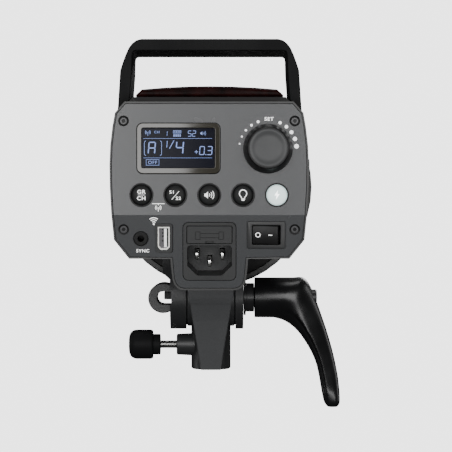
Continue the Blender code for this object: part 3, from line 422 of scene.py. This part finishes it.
def arc(centre, radius, start, stop, count=14):
    """Points from one angle to another, in degrees."""
    angles = [math.radians(start + (stop - start) * i / count) for i in range(count + 1)]
    return [(centre[0] + radius * math.cos(a), centre[1] + radius * math.sin(a)) for a in angles]


def disc(centre, radius, count=28):
    return arc(centre, radius, 0, 360 - 360 / count, count - 1)


def rectangle(left, bottom, right, top):
    return [(left, bottom), (right, bottom), (right, top), (left, top)]


def frame_shape(left, bottom, right, top, line):
    """Rectangle outline and the hole that leaves a line of some width."""
    hole = rectangle(left + line, bottom + line, right - line, top - line)
    return [rectangle(left, bottom, right, top), hole]


def mesh_of(curve):
    """Mesh of a curve that no object keeps."""
    holder = bpy.data.objects.new("mark", curve)
    mesh = bpy.data.meshes.new_from_object(holder)
    bpy.data.objects.remove(holder)
    return mesh


def flat_mesh(shapes, thickness):
    """Solid marks in local XY from outlines; one entry may hold an outline and its holes."""
    joined = bmesh.new()
    for shape in shapes:
        outlines = shape if isinstance(shape[0], list) else [shape]
        curve = bpy.data.curves.new("mark", "CURVE")
        curve.dimensions = "2D"
        curve.fill_mode = "BOTH"
        curve.extrude = thickness / 2 * MM
        for outline in outlines:
            spline = curve.splines.new("POLY")
            spline.points.add(len(outline) - 1)
            for point, (x, y) in zip(spline.points, outline):
                point.co = (x * MM, y * MM, 0, 1)
            spline.use_cyclic_u = True
        mesh = mesh_of(curve)
        joined.from_mesh(mesh)
        bpy.data.meshes.remove(mesh)
    return joined


def add_text(joined, words, centre, height, bold=0.0, thickness=0.08):
    """Adds lettering whose capitals are height tall, centred on a point."""
    curve = bpy.data.curves.new("words", "FONT")
    curve.body = words
    curve.size = height / CAPITAL * MM
    curve.extrude = thickness / 2 * MM
    curve.offset = bold * MM
    curve.space_character = LETTER_SPACE
    curve.align_x = "CENTER"
    mesh = mesh_of(curve)
    ys = [vert.co.y for vert in mesh.vertices]
    shift = Vector((centre[0] * MM, centre[1] * MM - (min(ys) + max(ys)) / 2, 0.0))
    mesh.transform(Matrix.Translation(shift) @ Matrix.Diagonal((LETTER_STRETCH, 1.0, 1.0, 1.0)))
    joined.from_mesh(mesh)
    bpy.data.meshes.remove(mesh)


def mark(name, shapes, place, body, words=(), material="legend_white_painted_glow", thickness=0.08,
         sunk=0.02):
    """Thin raised mark that follows a surface."""
    joined = flat_mesh(shapes, thickness)
    for text, centre, height, bold in words:
        add_text(joined, text, centre, height, bold, thickness)
    bmesh.ops.remove_doubles(joined, verts=joined.verts, dist=MARK_WELD)
    for vert in joined.verts:
        x, y, z = vert.co / MM
        vert.co = place(x, y, z + thickness / 2 - sunk) * MM
    return add_piece(name, new_mesh(joined, name), material, body)


def segments(character, left, bottom, height):
    """Lit bars of a slanted segment digit."""
    lit = {"0": "abcdef", "1": "bc", "2": "abged", "3": "abgcd", "4": "fgbc", "S": "afgcd", "A": "abcefg"}
    wide, thick, lean = height * 0.56, height * 0.1, 0.08
    half, inset = height / 2, height * 0.03
    bars = {
        "a": ((inset, height), (wide - inset, height)), "d": ((inset, 0), (wide - inset, 0)),
        "g": ((inset, half), (wide - inset, half)),
        "f": ((0, half + inset), (0, height - inset)), "e": ((0, inset), (0, half - inset)),
        "b": ((wide, half + inset), (wide, height - inset)), "c": ((wide, inset), (wide, half - inset)),
    }
    shapes = []
    for bar in lit[character]:
        ends = [(left + x + y * lean, bottom + y) for x, y in bars[bar]]
        shapes.append(stroke(ends, thick))
    return shapes


def waves(centre, radii, width, start, stop):
    """Arcs of the same width round one centre."""
    return [stroke(arc(centre, radius, start, stop), width) for radius in radii]


def speaker(centre, size, width):
    """Loudspeaker with sound waves."""
    x, y = centre
    cone = [(-0.5, -0.13), (-0.37, -0.13), (-0.16, -0.34), (-0.16, 0.34), (-0.37, 0.13), (-0.5, 0.13)]
    shapes = [[(x + a * size, y + b * size) for a, b in cone]]
    return shapes + waves((x - 0.2 * size, y), [size * r for r in (0.22, 0.42, 0.62)], width, -38, 38)


def aerial(centre, size, width):
    """Mast with waves to each side."""
    x, y = centre
    tip = (x, y + 0.12 * size)
    shapes = [stroke([(x, y - 0.5 * size), (x, y + 0.1 * size)], width), disc(tip, width * 0.8)]
    for start in (-48, 132):
        shapes += waves(tip, [size * r for r in (0.26, 0.46)], width, start, start + 96)
    return shapes


# ---------------------------------------------------------------- control panel

def panel_marks():
    """Legends printed on the upper and the lower panel."""
    dots = []
    for index, angle in enumerate((170, 155, 140, 125, 110, 65, 50, 35, 20, 5)):
        turn = math.radians(angle)
        centre = (DIAL_X + DOTS_RADIUS * math.cos(turn), DIAL_Z + DOTS_RADIUS * math.sin(turn))
        dots.append(disc(centre, 0.42 + 0.09 * index))
    bar = [stroke(ends, 0.32) for ends in ([(-31.1, 99.3), (-24.4, 99.3)], [(-27.8, 99.2), (-27.8, 98.5)])]
    shapes = dots + bar + aerial((-27.8, 96.7), 3.4, 0.28)
    words = [("SET", (DIAL_X + 0.6, 145.6), 1.9, 0.05)]
    mark("panel_legend", shapes, on_panel, "head", words)
    wifi = waves((-30.3, -5.0), (1.3, 2.4, 3.5), 0.4, 50, 130) + [disc((-30.3, -5.0), 0.5)]
    words = [("SYNC", (-36.4, -19.8), 1.7, 0.03)]
    mark("lower_panel_legend", wifi, on_lower_panel, "head", words)


def button_legends():
    """Legends on the five caps."""
    bulb = [stroke(arc((0, 0.8), 2.0, -56, 236, 30), 0.45), stroke([(-1.0, -0.9), (-0.85, -1.8)], 0.45),
            stroke([(1.0, -0.9), (0.85, -1.8)], 0.45), rectangle(-0.95, -2.45, 0.95, -1.95),
            rectangle(-0.7, -3.15, 0.7, -2.7)]
    bolt = [[(0.5, 2.5), (-1.35, -0.25), (-0.15, -0.25), (-0.6, -2.5), (1.4, 0.5), (0.2, 0.5)]]
    art = {
        "button_group": ([stroke([(-1.9, 0.0), (1.9, 0.0)], 0.14)],
                         [("GR", (0, 1.75), 2.1, 0.04), ("CH", (0, -1.75), 2.1, 0.04)]),
        "button_slave": ([stroke([(-1.9, -2.5), (2.1, 2.1)], 0.22)],
                         [("S1", (-1.75, 1.6), 1.8, 0.02), ("S2", (1.7, -1.8), 1.8, 0.02)]),
        "button_beep": (speaker((0.25, 0), 5.6, 0.3), []),
        "button_lamp": (bulb, []),
        "button_test": (bolt, []),
    }
    for name, (shapes, words) in art.items():
        centre = middle_of(name)
        # the test button's bolt is lit by its lamp; the other legends are print with a painted glow
        white = "lit_white" if name == "button_test" else "legend_white_painted_glow"
        mark(name + "_legend", shapes, on_button(centre.x, centre.z), name, words, white)


def buttons():
    """Domed caps with their flanges, each in a collar set in the panel."""
    cap = smooth_profile([(0, 1.5), (2.2, 1.43), (4.4, 1.2), (5.3, 0.6), (5.55, -0.4), (5.55, -3.0),
                          (6.8, -3.0), (6.8, -4.4), (2.0, -4.4), (2.0, -13.0), (0, -13.0)], {3: 0.5})
    collar = smooth_profile([(5.72, -0.45), (5.72, 0.3), (6.6, 0.3), (6.6, -0.45)], {1: 0.2, 2: 0.25})
    for name in BUTTONS:
        centre = middle_of(name)
        origin = (centre.x, PANEL_Y, centre.z)
        slot = SLOT_OF[name]
        mesh = turned_mesh(name + "_cap", cap, origin, TO_VIEWER)
        piece = add_piece(name + "_cap", mesh, slot, name)
        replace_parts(piece, name)
        ring = turned_mesh(name + "_collar", collar, origin, TO_VIEWER)
        add_piece(name + "_collar", ring, "black_plastic", "head")


def dial():
    """Tapered knob with a raised lip round a dished face."""
    side = smooth_profile([(0, 8.0), (3.4, 8.0), (3.4, 0.9), (13.3, 0.9), (13.5, 1.6), (12.7, 6.0),
                           (11.5, 11.6), (10.9, 12.2), (10.4, 12.2), (10.4, 11.0), (0, 11.0)], {6: 0.6})
    origin = (DIAL_X, PANEL_Y, DIAL_Z)
    mesh = turned_mesh("dial_knob_body", side, origin, TO_VIEWER)
    piece = add_piece("dial_knob_body", mesh, "black_plastic", "dial")
    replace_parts(piece, "dial_knob")
    face = smooth_profile([(0, 10.9), (10.3, 10.9), (10.35, 12.15), (9.7, 12.4), (8.7, 12.2), (7.0, 11.6),
                           (0, 11.5)], {3: 0.4, 4: 0.6, 5: 1.2})
    mesh = turned_mesh("dial_knob_face", face, origin, TO_VIEWER)
    add_piece("dial_knob_face", mesh, "dial_face", "dial")


def display_glass():
    """Pane of the display, a little smaller than the bezel's opening."""
    left, right, bottom, top = -36.9, 3.1, 118.8, 140.6
    gap = 0.15
    glass = flat_mesh([rectangle(left + gap, bottom + gap, right - gap, top - gap)], 1.2)
    for vert in glass.verts:
        x, z, out = vert.co / MM
        vert.co = on_panel(x, z, out - 0.45) * MM
    bmesh.ops.remove_doubles(glass, verts=glass.verts, dist=MARK_WELD)
    mesh = new_mesh(glass, "display_glass")
    round_edges(add_piece("display_glass", mesh, "screen", "head"), 0.12)


def display():
    """Bezel, glass and the lit segments."""
    refined("display_bezel", 0.35, 3)
    display_glass()
    line, bracket_line = 0.25, 0.26
    # top row: aerial, channel, memory, slave mode and beeper
    shapes = aerial((-33.5, 137.9), 3.0, bracket_line) + segments("1", -24.4, 136.4, 2.4)
    shapes += [frame_shape(-19.7, 137.7, -15.3, 139.3, line)]
    shapes += [rectangle(x, 138.2, x + 0.5, 138.8) for x in (-19.0, -18.1, -17.2, -16.3)]
    shapes += [rectangle(x, 135.9, x + 0.7, 137.2) for x in (-19.5, -18.4, -17.3, -16.2)]
    shapes += segments("S", -11.6, 136.1, 3.0) + segments("2", -9.2, 136.1, 3.0)
    shapes += speaker((-3.2, 137.7), 3.2, 0.18)
    shapes += [rectangle(-36.0, 134.82, 1.6, 134.98), rectangle(-36.0, 124.22, 1.6, 124.38)]
    # middle row: group, power and its fraction of a stop
    shapes += [stroke([(-34.6, 133.7), (-35.4, 133.0), (-35.4, 126.2), (-34.6, 125.5)], bracket_line),
               stroke([(-26.8, 133.7), (-26.0, 133.0), (-26.0, 126.2), (-26.8, 125.5)], bracket_line)]
    shapes += segments("A", -33.3, 126.6, 6.2) + segments("1", -25.3, 129.9, 3.8)
    shapes += [stroke([(-21.7, 129.4), (-19.2, 133.8)], 0.4)] + segments("4", -18.2, 126.6, 6.6)
    shapes += [rectangle(-7.9, 127.4, -6.1, 127.8), rectangle(-7.2, 126.7, -6.8, 128.5)]
    shapes += segments("0", -5.3, 126.1, 4.4) + [disc((-1.8, 126.1), 0.3)]
    shapes += segments("3", -1.1, 126.1, 4.4)
    # bottom row: the modelling lamp's state
    shapes += [frame_shape(-34.5, 120.2, -27.3, 123.5, 0.2)]

    def on_glass(x, z, out):
        return on_panel(x, z, out + 0.15)
    words = [("CH", (-28.6, 138.4), 1.3, 0.0), ("OFF", (-30.9, 121.85), 1.75, 0.0)]
    mark("display_segments", shapes, on_glass, "head", words, "segment_blue", 0.05, 0.01)


# ---------------------------------------------------------------- sockets and switch

def sockets():
    """USB port, mains inlet and sync jack details."""
    refined("sync_socket", 0.25)
    refined("inlet_housing", 0.35, material="socket_plastic")
    refined("fuse_drawer", 0.2, material="socket_plastic")
    for pin in ("pin_line", "pin_neutral", "pin_earth"):
        refined(pin, 0.25, 3)
    usb_port()
    wells = [disc((-5.8, -28.3), 1.25), disc((8.4, -28.3), 1.25)]
    mark("inlet_bosses", wells, on_lower_panel, "head", (), "socket_plastic", 1.6, 17.2)


def rounded(left, bottom, right, top, radius):
    """Rectangle outline with round corners."""
    points = []
    for x, z, start in ((right - radius, top - radius, 0), (left + radius, top - radius, 90),
                        (left + radius, bottom + radius, 180), (right - radius, bottom + radius, 270)):
        points += arc((x, z), radius, start, start + 90, 5)
    return points


def usb_port():
    """Shell, tongue and contacts of the upright USB port, in a black surround."""
    x, v = -24.9, -12.95
    shell = [(x - 3.2, v + 6.3), (x - 3.2, v - 4.7), (x - 1.75, v - 6.3), (x + 1.75, v - 6.3),
             (x + 3.2, v - 4.7), (x + 3.2, v + 6.3)]
    bore = [(x - 2.65, v + 5.75), (x - 2.65, v - 4.4), (x - 1.5, v - 5.6), (x + 1.5, v - 5.6),
            (x + 2.65, v - 4.4), (x + 2.65, v + 5.75)]
    surround = [rounded(x - 4.65, v - 8.0, x + 4.75, v + 8.0, 1.6), shell]
    tongue = rectangle(x + 0.2, v - 4.9, x + 1.65, v + 5.3)
    shadow = rectangle(x + 1.75, v - 4.9, x + 2.5, v + 5.5)
    contacts = [rounded(x - 0.95, v + y - 0.5, x - 0.05, v + y + 0.5, 0.2) for y in (4.9, 2.7, 0.9, -1.5)]
    # name, shapes, material, thickness, and how far the piece's back lies under the panel's face
    parts = (("usb_surround", [surround], "socket_plastic", 8.0, 8.55),
             ("usb_shell", [[shell, bore]], "port_shell", 10.4, 10.6),
             ("usb_floor", [bore], "port_grey", 1.0, 3.3),
             ("usb_tongue", [tongue], "port_white", 2.0, 2.3),
             ("usb_shadow", [shadow], "black_plastic", 0.6, 2.6),
             ("usb_contacts", contacts, "black_plastic", 0.5, 2.45))
    for name, shapes, material, thickness, sunk in parts:
        mark(name, shapes, on_lower_panel, "head", (), material, thickness, sunk)
    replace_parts(bpy.data.objects["usb_shell"], "usb_socket")


def fuse_symbol_painted_shade():
    """Raised outline of a fuse on the drawer's front, in black: painted shade standing in for the shading of its
    low relief.
    """
    x = middle_of("fuse_drawer").x
    v = -11.3
    shapes = [frame_shape(end - 1.4, v - 2.2, end + 1.4, v + 2.2, 0.25) for end in (x - 6.4, x + 6.4)]
    for height in (-1.15, 1.15):
        shapes.append(rectangle(x - 5.0, v + height - 0.13, x + 5.0, v + height + 0.13))

    def on_drawer(a, b, out):
        return on_lower_panel(a, b, out + 0.5)
    # black on the lighter drawer: painted shade along the embossed outline
    mark("fuse_symbol_painted_shade", shapes, on_drawer, "fuse_drawer", (), "black_plastic", 0.3, 0.05)


def rocker():
    """Rocker with a rounded end, and its two marks."""
    refined("switch_housing", 0.3, 3, material="socket_plastic")
    refined("switch_rocker", 0.3, 3)
    pivot = Vector(SWITCH["pos_m"]) / MM
    rest = math.radians(SWITCH["range_deg"][1] / 2)
    along = Vector((1, 0, 0)) * math.cos(rest) + OUT_OF_FACE * math.sin(rest)
    out_of_top = OUT_OF_FACE * math.cos(rest) - Vector((1, 0, 0)) * math.sin(rest)
    dish, edge, half = 2.0, 3.4, 7.1            # the top's height in the middle and at its ends

    def on_rocker(x, v, out):
        height = dish + (edge - dish) * abs(x) / half
        return pivot + along * x + UP_FACE * v + out_of_top * (height + out)
    ring = [disc((-4.1, 0), 1.35, 36), disc((-4.1, 0), 1.0, 36)]
    mark("rocker_marks", [ring, rectangle(1.6, -0.2, 3.8, 0.2)], on_rocker, "switch_rocker", ())


# ---------------------------------------------------------------- casing and front end

def casing():
    """Panel, housings, handle, sensor window and their fixings."""
    refined("rear_panel", 0.2, sharp=6.0)
    for node in ("upper_housing", "lower_housing"):
        refined(node, 0.35)
    handle()
    refined("sensor_window", 0.5, 3, 25.0)
    for node in BODY_OF:
        if node.startswith("handle_bolt"):
            refined(node, 0.15)
        elif node.startswith("panel_screw"):
            panel_screw(node)
    seam_tongue()
    vent_screens()


def socket_head(name, profile, origin, out, hexagon, floor, steps):
    """Screw head turned from a profile that starts round its hexagon socket.

    hexagon is the socket's radius over its corners and floor its height. The mesh's first face is
    the socket's floor, and the next ones, as many as steps, are its walls.
    """
    side = out.orthogonal().normalized()
    across = out.cross(side)
    bm = bmesh.new()
    top, bottom = [], []
    for i in range(steps):
        angle = math.tau * i / steps
        radius = hexagon * math.cos(math.pi / 6) / math.cos(angle % (math.pi / 3) - math.pi / 6)
        place = origin + radius * (side * math.cos(angle) + across * math.sin(angle))
        top.append(bm.verts.new((place + out * profile[0][1]) * MM))
        bottom.append(bm.verts.new((place + out * floor) * MM))
    bm.faces.new(bottom)
    rings = [bottom, top]
    rings += [circle(bm, origin + out * height, out, radius, steps) for radius, height in profile]
    for near, far in zip(rings, rings[1:]):
        for i in range(steps):
            j = (i + 1) % steps
            bm.faces.new((near[i], far[i], far[j], near[j]))
    bm.faces.new(rings[-1])
    return new_mesh(bm, name, 28.0)


def panel_screw(node):
    """Countersunk socket screw; its hexagon socket and the well round its head are black: painted shade in the
    recesses.
    """
    centre = middle_of(node)
    if centre.z > KINK.z:
        origin, out = on_panel(centre.x, centre.z, 0.0), TO_VIEWER
    else:
        v = (LOW_SCREWS_Z - KINK.z) / UP_FACE.z
        origin, out = on_lower_panel(centre.x, v, 0.0), OUT_OF_FACE.normalized()
    head = [(1.3, -0.16), (1.75, -0.16), (1.93, -0.26), (2.0, -0.5), (2.0, -1.3), (1.4, -1.3),
            (1.4, -9.0)]
    steps = 48
    mesh = socket_head(node + "_head", head, origin, out, 1.15, -0.95, steps)
    piece = add_piece(node + "_head", mesh, "screw_black", "head")
    # the socket's floor and walls take the black material: painted shade in the shallow recess
    piece.data.materials.append(MATERIALS["black_plastic"])
    for face in piece.data.polygons[:1 + steps]:
        face.material_index = 1
    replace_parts(piece, node)
    # black well round the head: painted shade in the gap of the countersink
    well = [(2.04, -0.9), (2.04, -0.3), (2.5, -0.1), (2.85, 0.04), (2.95, 0.0), (2.95, -0.9)]
    mesh = turned_mesh(node + "_painted_shade_well", well, origin, out)
    add_piece(node + "_painted_shade_well", mesh, "black_plastic", "head")


def seam_tongue():
    """Lip between the two halves of the housing, set back so that their seam shows as a groove."""
    mesh = frame["nodes"]["lower_housing"].data.copy()
    mesh.name = "seam_tongue"
    bm = bmesh.new()
    bm.from_mesh(mesh)
    bmesh.ops.remove_doubles(bm, verts=bm.verts, dist=CAD_WELD)
    level = max(v.co.z for v in bm.verts)
    other = [f for f in bm.faces if any(abs(v.co.z - level) > LEVEL_SLACK for v in f.verts)]
    bmesh.ops.delete(bm, geom=other, context="FACES")
    rim = bmesh.ops.inset_region(bm, faces=bm.faces[:], thickness=0.45 * MM, use_even_offset=True)
    bmesh.ops.delete(bm, geom=rim["faces"], context="FACES")
    raised = bmesh.ops.extrude_face_region(bm, geom=bm.faces[:])
    for vert in (item for item in raised["geom"] if isinstance(item, bmesh.types.BMVert)):
        vert.co.z += 0.3 * MM
    bmesh.ops.recalc_face_normals(bm, faces=bm.faces)
    bm.to_mesh(mesh)
    bm.free()
    add_piece("seam_tongue", mesh, "black_plastic", "head")


def add_wire(bm, start, stop, radius, steps=6):
    """Round wire between two points."""
    along = (Vector(stop) - Vector(start)).normalized()
    skin(bm, [circle(bm, Vector(end), along, radius, steps) for end in (start, stop)])


def vent_screens():
    """Woven dust screens behind the air slots of both sides, the two a half pitch apart."""
    pitch, radius = 1.4, 0.42
    upright_x, level_x = 45.6, 45.3             # from the middle plane to each layer of wires
    back, front, bottom, top = -39.5, 21.5, 100.5, 133.5
    for side, x in (("left", -1), ("right", 1)):
        shift = 0.5 + x * pitch / 4
        bm = bmesh.new()
        for i in range(44):
            y = back + shift + pitch * i
            add_wire(bm, (x * upright_x, y, bottom), (x * upright_x, y, top), radius)
        for i in range(24):
            z = bottom + shift + pitch * i
            add_wire(bm, (x * level_x, back, z), (x * level_x, front, z), radius)
        mesh = new_mesh(bm, "vent_screen_" + side, 50.0)
        add_piece("vent_screen_" + side, mesh, "black_steel", "head")


def handle():
    """Broad U of moulded nylon, its inner corners nearly square."""
    low, high = box_of("handle")
    outer = [(54.1, 112.0), (53.95, 122.0), (52.9, 140.0), (51.6, 155.4), (50.4, 174.6), (49.0, 179.0),
             (47.4, 183.4), (45.7, 187.2), (43.7, 189.9), (41.3, 191.7), (38.6, 192.45)]
    inner = [(41.4, 185.8), (42.7, 185.5), (43.4, 184.7), (43.6, 183.2), (43.8, 175.0), (45.0, 158.0),
             (47.7, 153.9), (49.4, 141.0), (50.6, 121.0), (50.6, 112.1)]
    left = [(-x, z) for x, z in outer[::-1]]
    outline = outer + left + [(-x, z) for x, z in inner[::-1]] + inner
    bm = flat_mesh([outline], high.y - low.y)
    bmesh.ops.remove_doubles(bm, verts=bm.verts, dist=MARK_WELD)
    bmesh.ops.dissolve_limit(bm, angle_limit=math.radians(0.5), verts=bm.verts, edges=bm.edges)
    for vert in bm.verts:
        x, z, depth = vert.co / MM
        vert.co = Vector((x, (low.y + high.y) / 2 + depth, z)) * MM
    mesh = new_mesh(bm, "handle_band", 40.0)
    piece = add_piece("handle_band", mesh, "handle_plastic", "head")
    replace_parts(piece, "handle")
    round_edges(piece, 0.7, 3, 50.0)


def front_end():
    """Accessory ring, bayonet plate, reflector, lamp and tube."""
    for node, width in (("front_ring", 0.5), ("bayonet_plate", 0.2), ("mount_release", 0.4),
                        ("reflector_plate", 0.2), ("flash_tube", 0.0), ("lamp_socket", 0.4),
                        ("modelling_lamp", 0.0)):
        refined(node, width, 3, 32.0 if width else 50.0)


# ---------------------------------------------------------------- stand bracket

def bracket():
    """Stand adapter, yoke, tilt stud and what holds them together."""
    refined("stand_adapter", 0.5, 3, 28.0)
    refined("yoke", 0.6, 3, 28.0)
    refined("umbrella_plunger", 0.3)
    refined("tilt_stud", 0.3, 3)
    refined("lever_cap_screw", 0.3, 3)
    for node in ("clamp_pad", "friction_disc_left", "friction_disc_right"):
        refined(node, 0.15)
    shim = [(11.9, 14.64), (16.6, 14.64), (16.6, 14.94), (11.9, 14.94)]
    tilt_axis = (0, 0, middle_of("tilt_stud").z)
    for side, x in (("left", -1), ("right", 1)):
        mesh = turned_mesh("knuckle_shim_" + side, shim, tilt_axis, (x, 0, 0))
        add_piece("knuckle_shim_" + side, mesh, "black_plastic", "root")
    rib_face()


def rib_face():
    """Satin rear face of the rib, carried up over the knuckle, in a lighter copy of the bracket's paint: painted
    light.
    """
    stations = [(0.25, -12.88), (29.0, -15.1), (30.6, -15.3), (42.4, -17.6), (43.6, -17.75), (45.0, -17.8),
                (49.6, -17.8)]                  # heights and the face's place along the flash's aim
    deep, chamfer = 5.0, 0.35
    bm = bmesh.new()
    rings = []
    for z, y in stations:
        half = 5.75 + 6.85 * z / 40.0
        corners = [(-half, y + deep), (-half, y + chamfer), (-half + chamfer, y), (half - chamfer, y),
                   (half, y + chamfer), (half, y + deep)]
        rings.append([bm.verts.new(Vector((x, depth, z)) * MM) for x, depth in corners])
    skin(bm, rings)
    add_piece("rib_face", new_mesh(bm, "rib_face", 12.0), "rib_paint_lit", "root")


def clamp_knob():
    """Moulded knob with a collar."""
    profile = smooth_profile([(0, 50.2), (5.0, 50.0), (7.4, 49.0), (8.7, 47.2), (9.0, 45.0), (9.0, 36.6),
                              (8.4, 35.4), (6.3, 35.2), (6.3, 31.2), (5.9, 30.8), (2.8, 30.8), (2.8, 46.3),
                              (0, 46.3)], {1: 1.2, 2: 0.9, 3: 0.9, 5: 0.5, 7: 0.3, 8: 0.2})
    mesh = turned_mesh("clamp_knob_body", profile, (0, 0, middle_of("clamp_knob").z), (-1, 0, 0))
    piece = add_piece("clamp_knob_body", mesh, "handle_plastic", "clamp_knob")
    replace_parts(piece, "clamp_knob")


def clamp_thread():
    """Rolled thread of the clamp screw, tapered where it enters the socket."""
    axis_z = middle_of("clamp_knob").z
    pitch, outer, depth, rows_each, steps = 0.8, 2.5, 0.42, 8, 40
    start, stop = 10.5, 46.0
    rows = int((stop - start) / pitch * rows_each)
    bm = bmesh.new()
    rings = []
    for row in range(rows + 1):
        x = start + (stop - start) * row / rows
        taper = min(1.0, 0.78 + (x - start) * 0.2)
        ring = []
        for step in range(steps):
            turn = step / steps
            phase = (x / pitch + turn) % 1.0
            radius = outer - depth * abs(2 * phase - 1)
            a = math.tau * turn
            point = Vector((-x, radius * taper * math.cos(a), axis_z + radius * taper * math.sin(a)))
            ring.append(bm.verts.new(point * MM))
        rings.append(ring)
    skin(bm, rings)
    mesh = new_mesh(bm, "clamp_thread", 40.0)
    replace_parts(add_piece("clamp_thread", mesh, "steel", "clamp_knob"), "clamp_screw")


def curve_through(rows, fraction):
    """Value on a smooth curve through rows of numbers, for a fraction of the way along."""
    place = fraction * (len(rows) - 1)
    index = min(int(place), len(rows) - 2)
    t = place - index
    before, here = rows[max(index - 1, 0)], rows[index]
    after, last = rows[index + 1], rows[min(index + 2, len(rows) - 1)]
    return [0.5 * (2 * b + (c - a) * t + (2 * a - 5 * b + 4 * c - d) * t ** 2
                   + (3 * b - a - 3 * c + d) * t ** 3)
            for a, b, c, d in zip(before, here, after, last)]


def lever_ring(bm, section, count=96):
    """Rounded cross-section of the lever, thinner past the step near its inner edge."""
    outer_x, outer_z, inner_x, inner_z, half, square, step_in = section
    ring = []
    for i in range(count):
        angle = math.tau * i / count
        c, s = math.cos(angle), math.sin(angle)
        along = math.copysign(abs(c) ** (2 / square), c)        # -1 at the inner edge, 1 at the outer
        across = math.copysign(abs(s) ** (2 / square), s) * half
        blend = min(1.0, max(0.0, (-along - 0.5) / 0.07))
        across *= (1 - step_in * blend) * (1 - 1.4 * step_in * max(0.0, along + 0.5) / 1.5)
        point = Vector(((outer_x + inner_x) / 2 + along * (outer_x - inner_x) / 2, across,
                        (outer_z + inner_z) / 2 + along * (outer_z - inner_z) / 2))
        ring.append(bm.verts.new(point * MM))
    return ring


def lever():
    """Ratchet handle whose inner edge steps in along the arm, as moulded ones do."""
    low, _ = box_of("lever_handle")
    # each row: outer x, z; inner x, z; half width; squareness; how far the inner edge steps in
    rows = [(50.0, 55.7, 38.5, 31.2, 12.2, 2.0, 0.0), (57.0, 55.4, 44.5, 29.4, 12.0, 2.1, 0.1),
            (61.6, 48.8, 49.8, 26.0, 11.4, 2.5, 0.26), (65.2, 39.6, 54.2, 21.5, 10.6, 3.0, 0.32),
            (68.3, 30.8, 58.1, 15.9, 9.8, 3.4, 0.33), (71.4, 21.4, 61.3, 10.3, 9.2, 3.6, 0.33),
            (74.9, 8.8, 64.2, 3.4, 8.6, 3.6, 0.32), (77.3, -2.7, 66.1, -4.6, 8.1, 3.6, 0.31),
            (78.3, -10.4, 67.1, -10.4, 7.8, 3.6, 0.27), (78.7, -15.8, 68.0, -15.4, 7.6, 3.4, 0.12),
            (78.7, -20.6, 69.3, -20.6, 6.9, 3.0, 0.02), (77.4, low.z + 0.1, 71.2, low.z + 0.1, 5.2, 2.6, 0.0)]
    hub = (26.6, 55.7, 26.6, 31.3, 12.2, 2.0, 0.0)
    steps = 72
    sections = [hub] + [curve_through(rows, i / steps) for i in range(steps + 1)]
    bm = bmesh.new()
    skin(bm, [lever_ring(bm, section) for section in sections])
    mesh = new_mesh(bm, "lever_body", 35.0)
    piece = add_piece("lever_body", mesh, "nylon", "lever_handle")
    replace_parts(piece, "lever_handle")
    round_edges(piece, 0.5, 3, 35.0)


# ---------------------------------------------------------------- inside, stage and camera

def inner_nodes():
    """CAD nodes that stay take their slot's material."""
    for node, obj in frame["nodes"].items():
        if not obj.hide_render:
            obj.data.materials.clear()
            obj.data.materials.append(MATERIALS[SLOT_OF[node]])


def stage():
    """Pale paper floor that the object's own reflections leave out."""
    bpy.ops.mesh.primitive_circle_add(vertices=96, radius=1.5, fill_type="NGON", location=(0, 0, -0.25))
    floor = bpy.context.object
    floor.name = "floor"
    floor.data.materials.append(finish("floor_paper", (0.86, 0.86, 0.86), 0.8, 1.5, 0.02, 0.01))
    floor.visible_glossy = False
    floor.visible_diffuse = False


def backdrop():
    """White surroundings, bright behind the object and faint as a light on it."""
    world = bpy.data.worlds.new("studio")
    bpy.context.scene.world = world
    world.use_nodes = True
    tree = world.node_tree
    behind, room = tree.nodes["Background"], tree.nodes.new("ShaderNodeBackground")
    for node, strength in ((behind, 3.2), (room, 0.05)):
        node.inputs["Color"].default_value = (1.0, 1.0, 1.0, 1.0)
        node.inputs["Strength"].default_value = strength
    seen = tree.nodes.new("ShaderNodeLightPath")
    mix = tree.nodes.new("ShaderNodeMixShader")
    tree.links.new(seen.outputs["Is Camera Ray"], mix.inputs["Fac"])
    tree.links.new(room.outputs["Background"], mix.inputs[1])
    tree.links.new(behind.outputs["Background"], mix.inputs[2])
    tree.links.new(mix.outputs["Shader"], tree.nodes["World Output"].inputs["Surface"])


def lights():
    """Two soft boxes either side of the camera; the rest only pick out edges."""
    # name, place and size in metres, power in watts
    boxes = (("left_box", (-0.68, -2.3, 0.33), (1.3, 1.08), 32.0),
             ("right_box", (0.8, -2.3, 0.33), (1.15, 1.08), 28.0),
             ("top_box", (0.0, -0.1, 1.6), (1.1, 0.5), 10.0),
             ("front_box", (0.9, 1.7, 1.15), (1.2, 1.0), 34.0),
             ("low_fill", (0.0, -1.75, -0.2), (0.5, 0.08), 18.0),
             ("left_edge", (-1.8, 0.2, 0.3), (0.5, 1.2), 7.0),
             ("right_edge", (1.8, 0.2, 0.3), (0.5, 1.2), 7.0))
    for name, place, size, power in boxes:
        light = bpy.data.lights.new(name, "AREA")
        light.shape = "RECTANGLE"
        light.size, light.size_y = size
        light.energy = power
        lamp = bpy.data.objects.new(name, light)
        lamp.location = place
        aim = Vector((0.0, 0.0, 0.09)) - Vector(place)
        lamp.rotation_euler = aim.to_track_quat("-Z", "Y").to_euler()
        lamp.visible_glossy = name != "low_fill"
        bpy.context.scene.collection.objects.link(lamp)


def camera():
    """Long lens square on to the rear panel, as in the photo."""
    data = bpy.data.cameras.new("camera")
    data.lens = 145.8
    data.sensor_width = 36.0
    view = bpy.data.objects.new("camera", data)
    view.location = (0.0092, -1.12, 0.0871)
    view.rotation_euler = (math.radians(90), 0, 0)
    bpy.context.scene.collection.objects.link(view)
    bpy.context.scene.camera = view


camera()
casing()
front_end()
bracket()
clamp_knob()
clamp_thread()
lever()
buttons()
dial()
display()
sockets()
fuse_symbol_painted_shade()
rocker()
panel_marks()
button_legends()
inner_nodes()
stage()
backdrop()
lights()
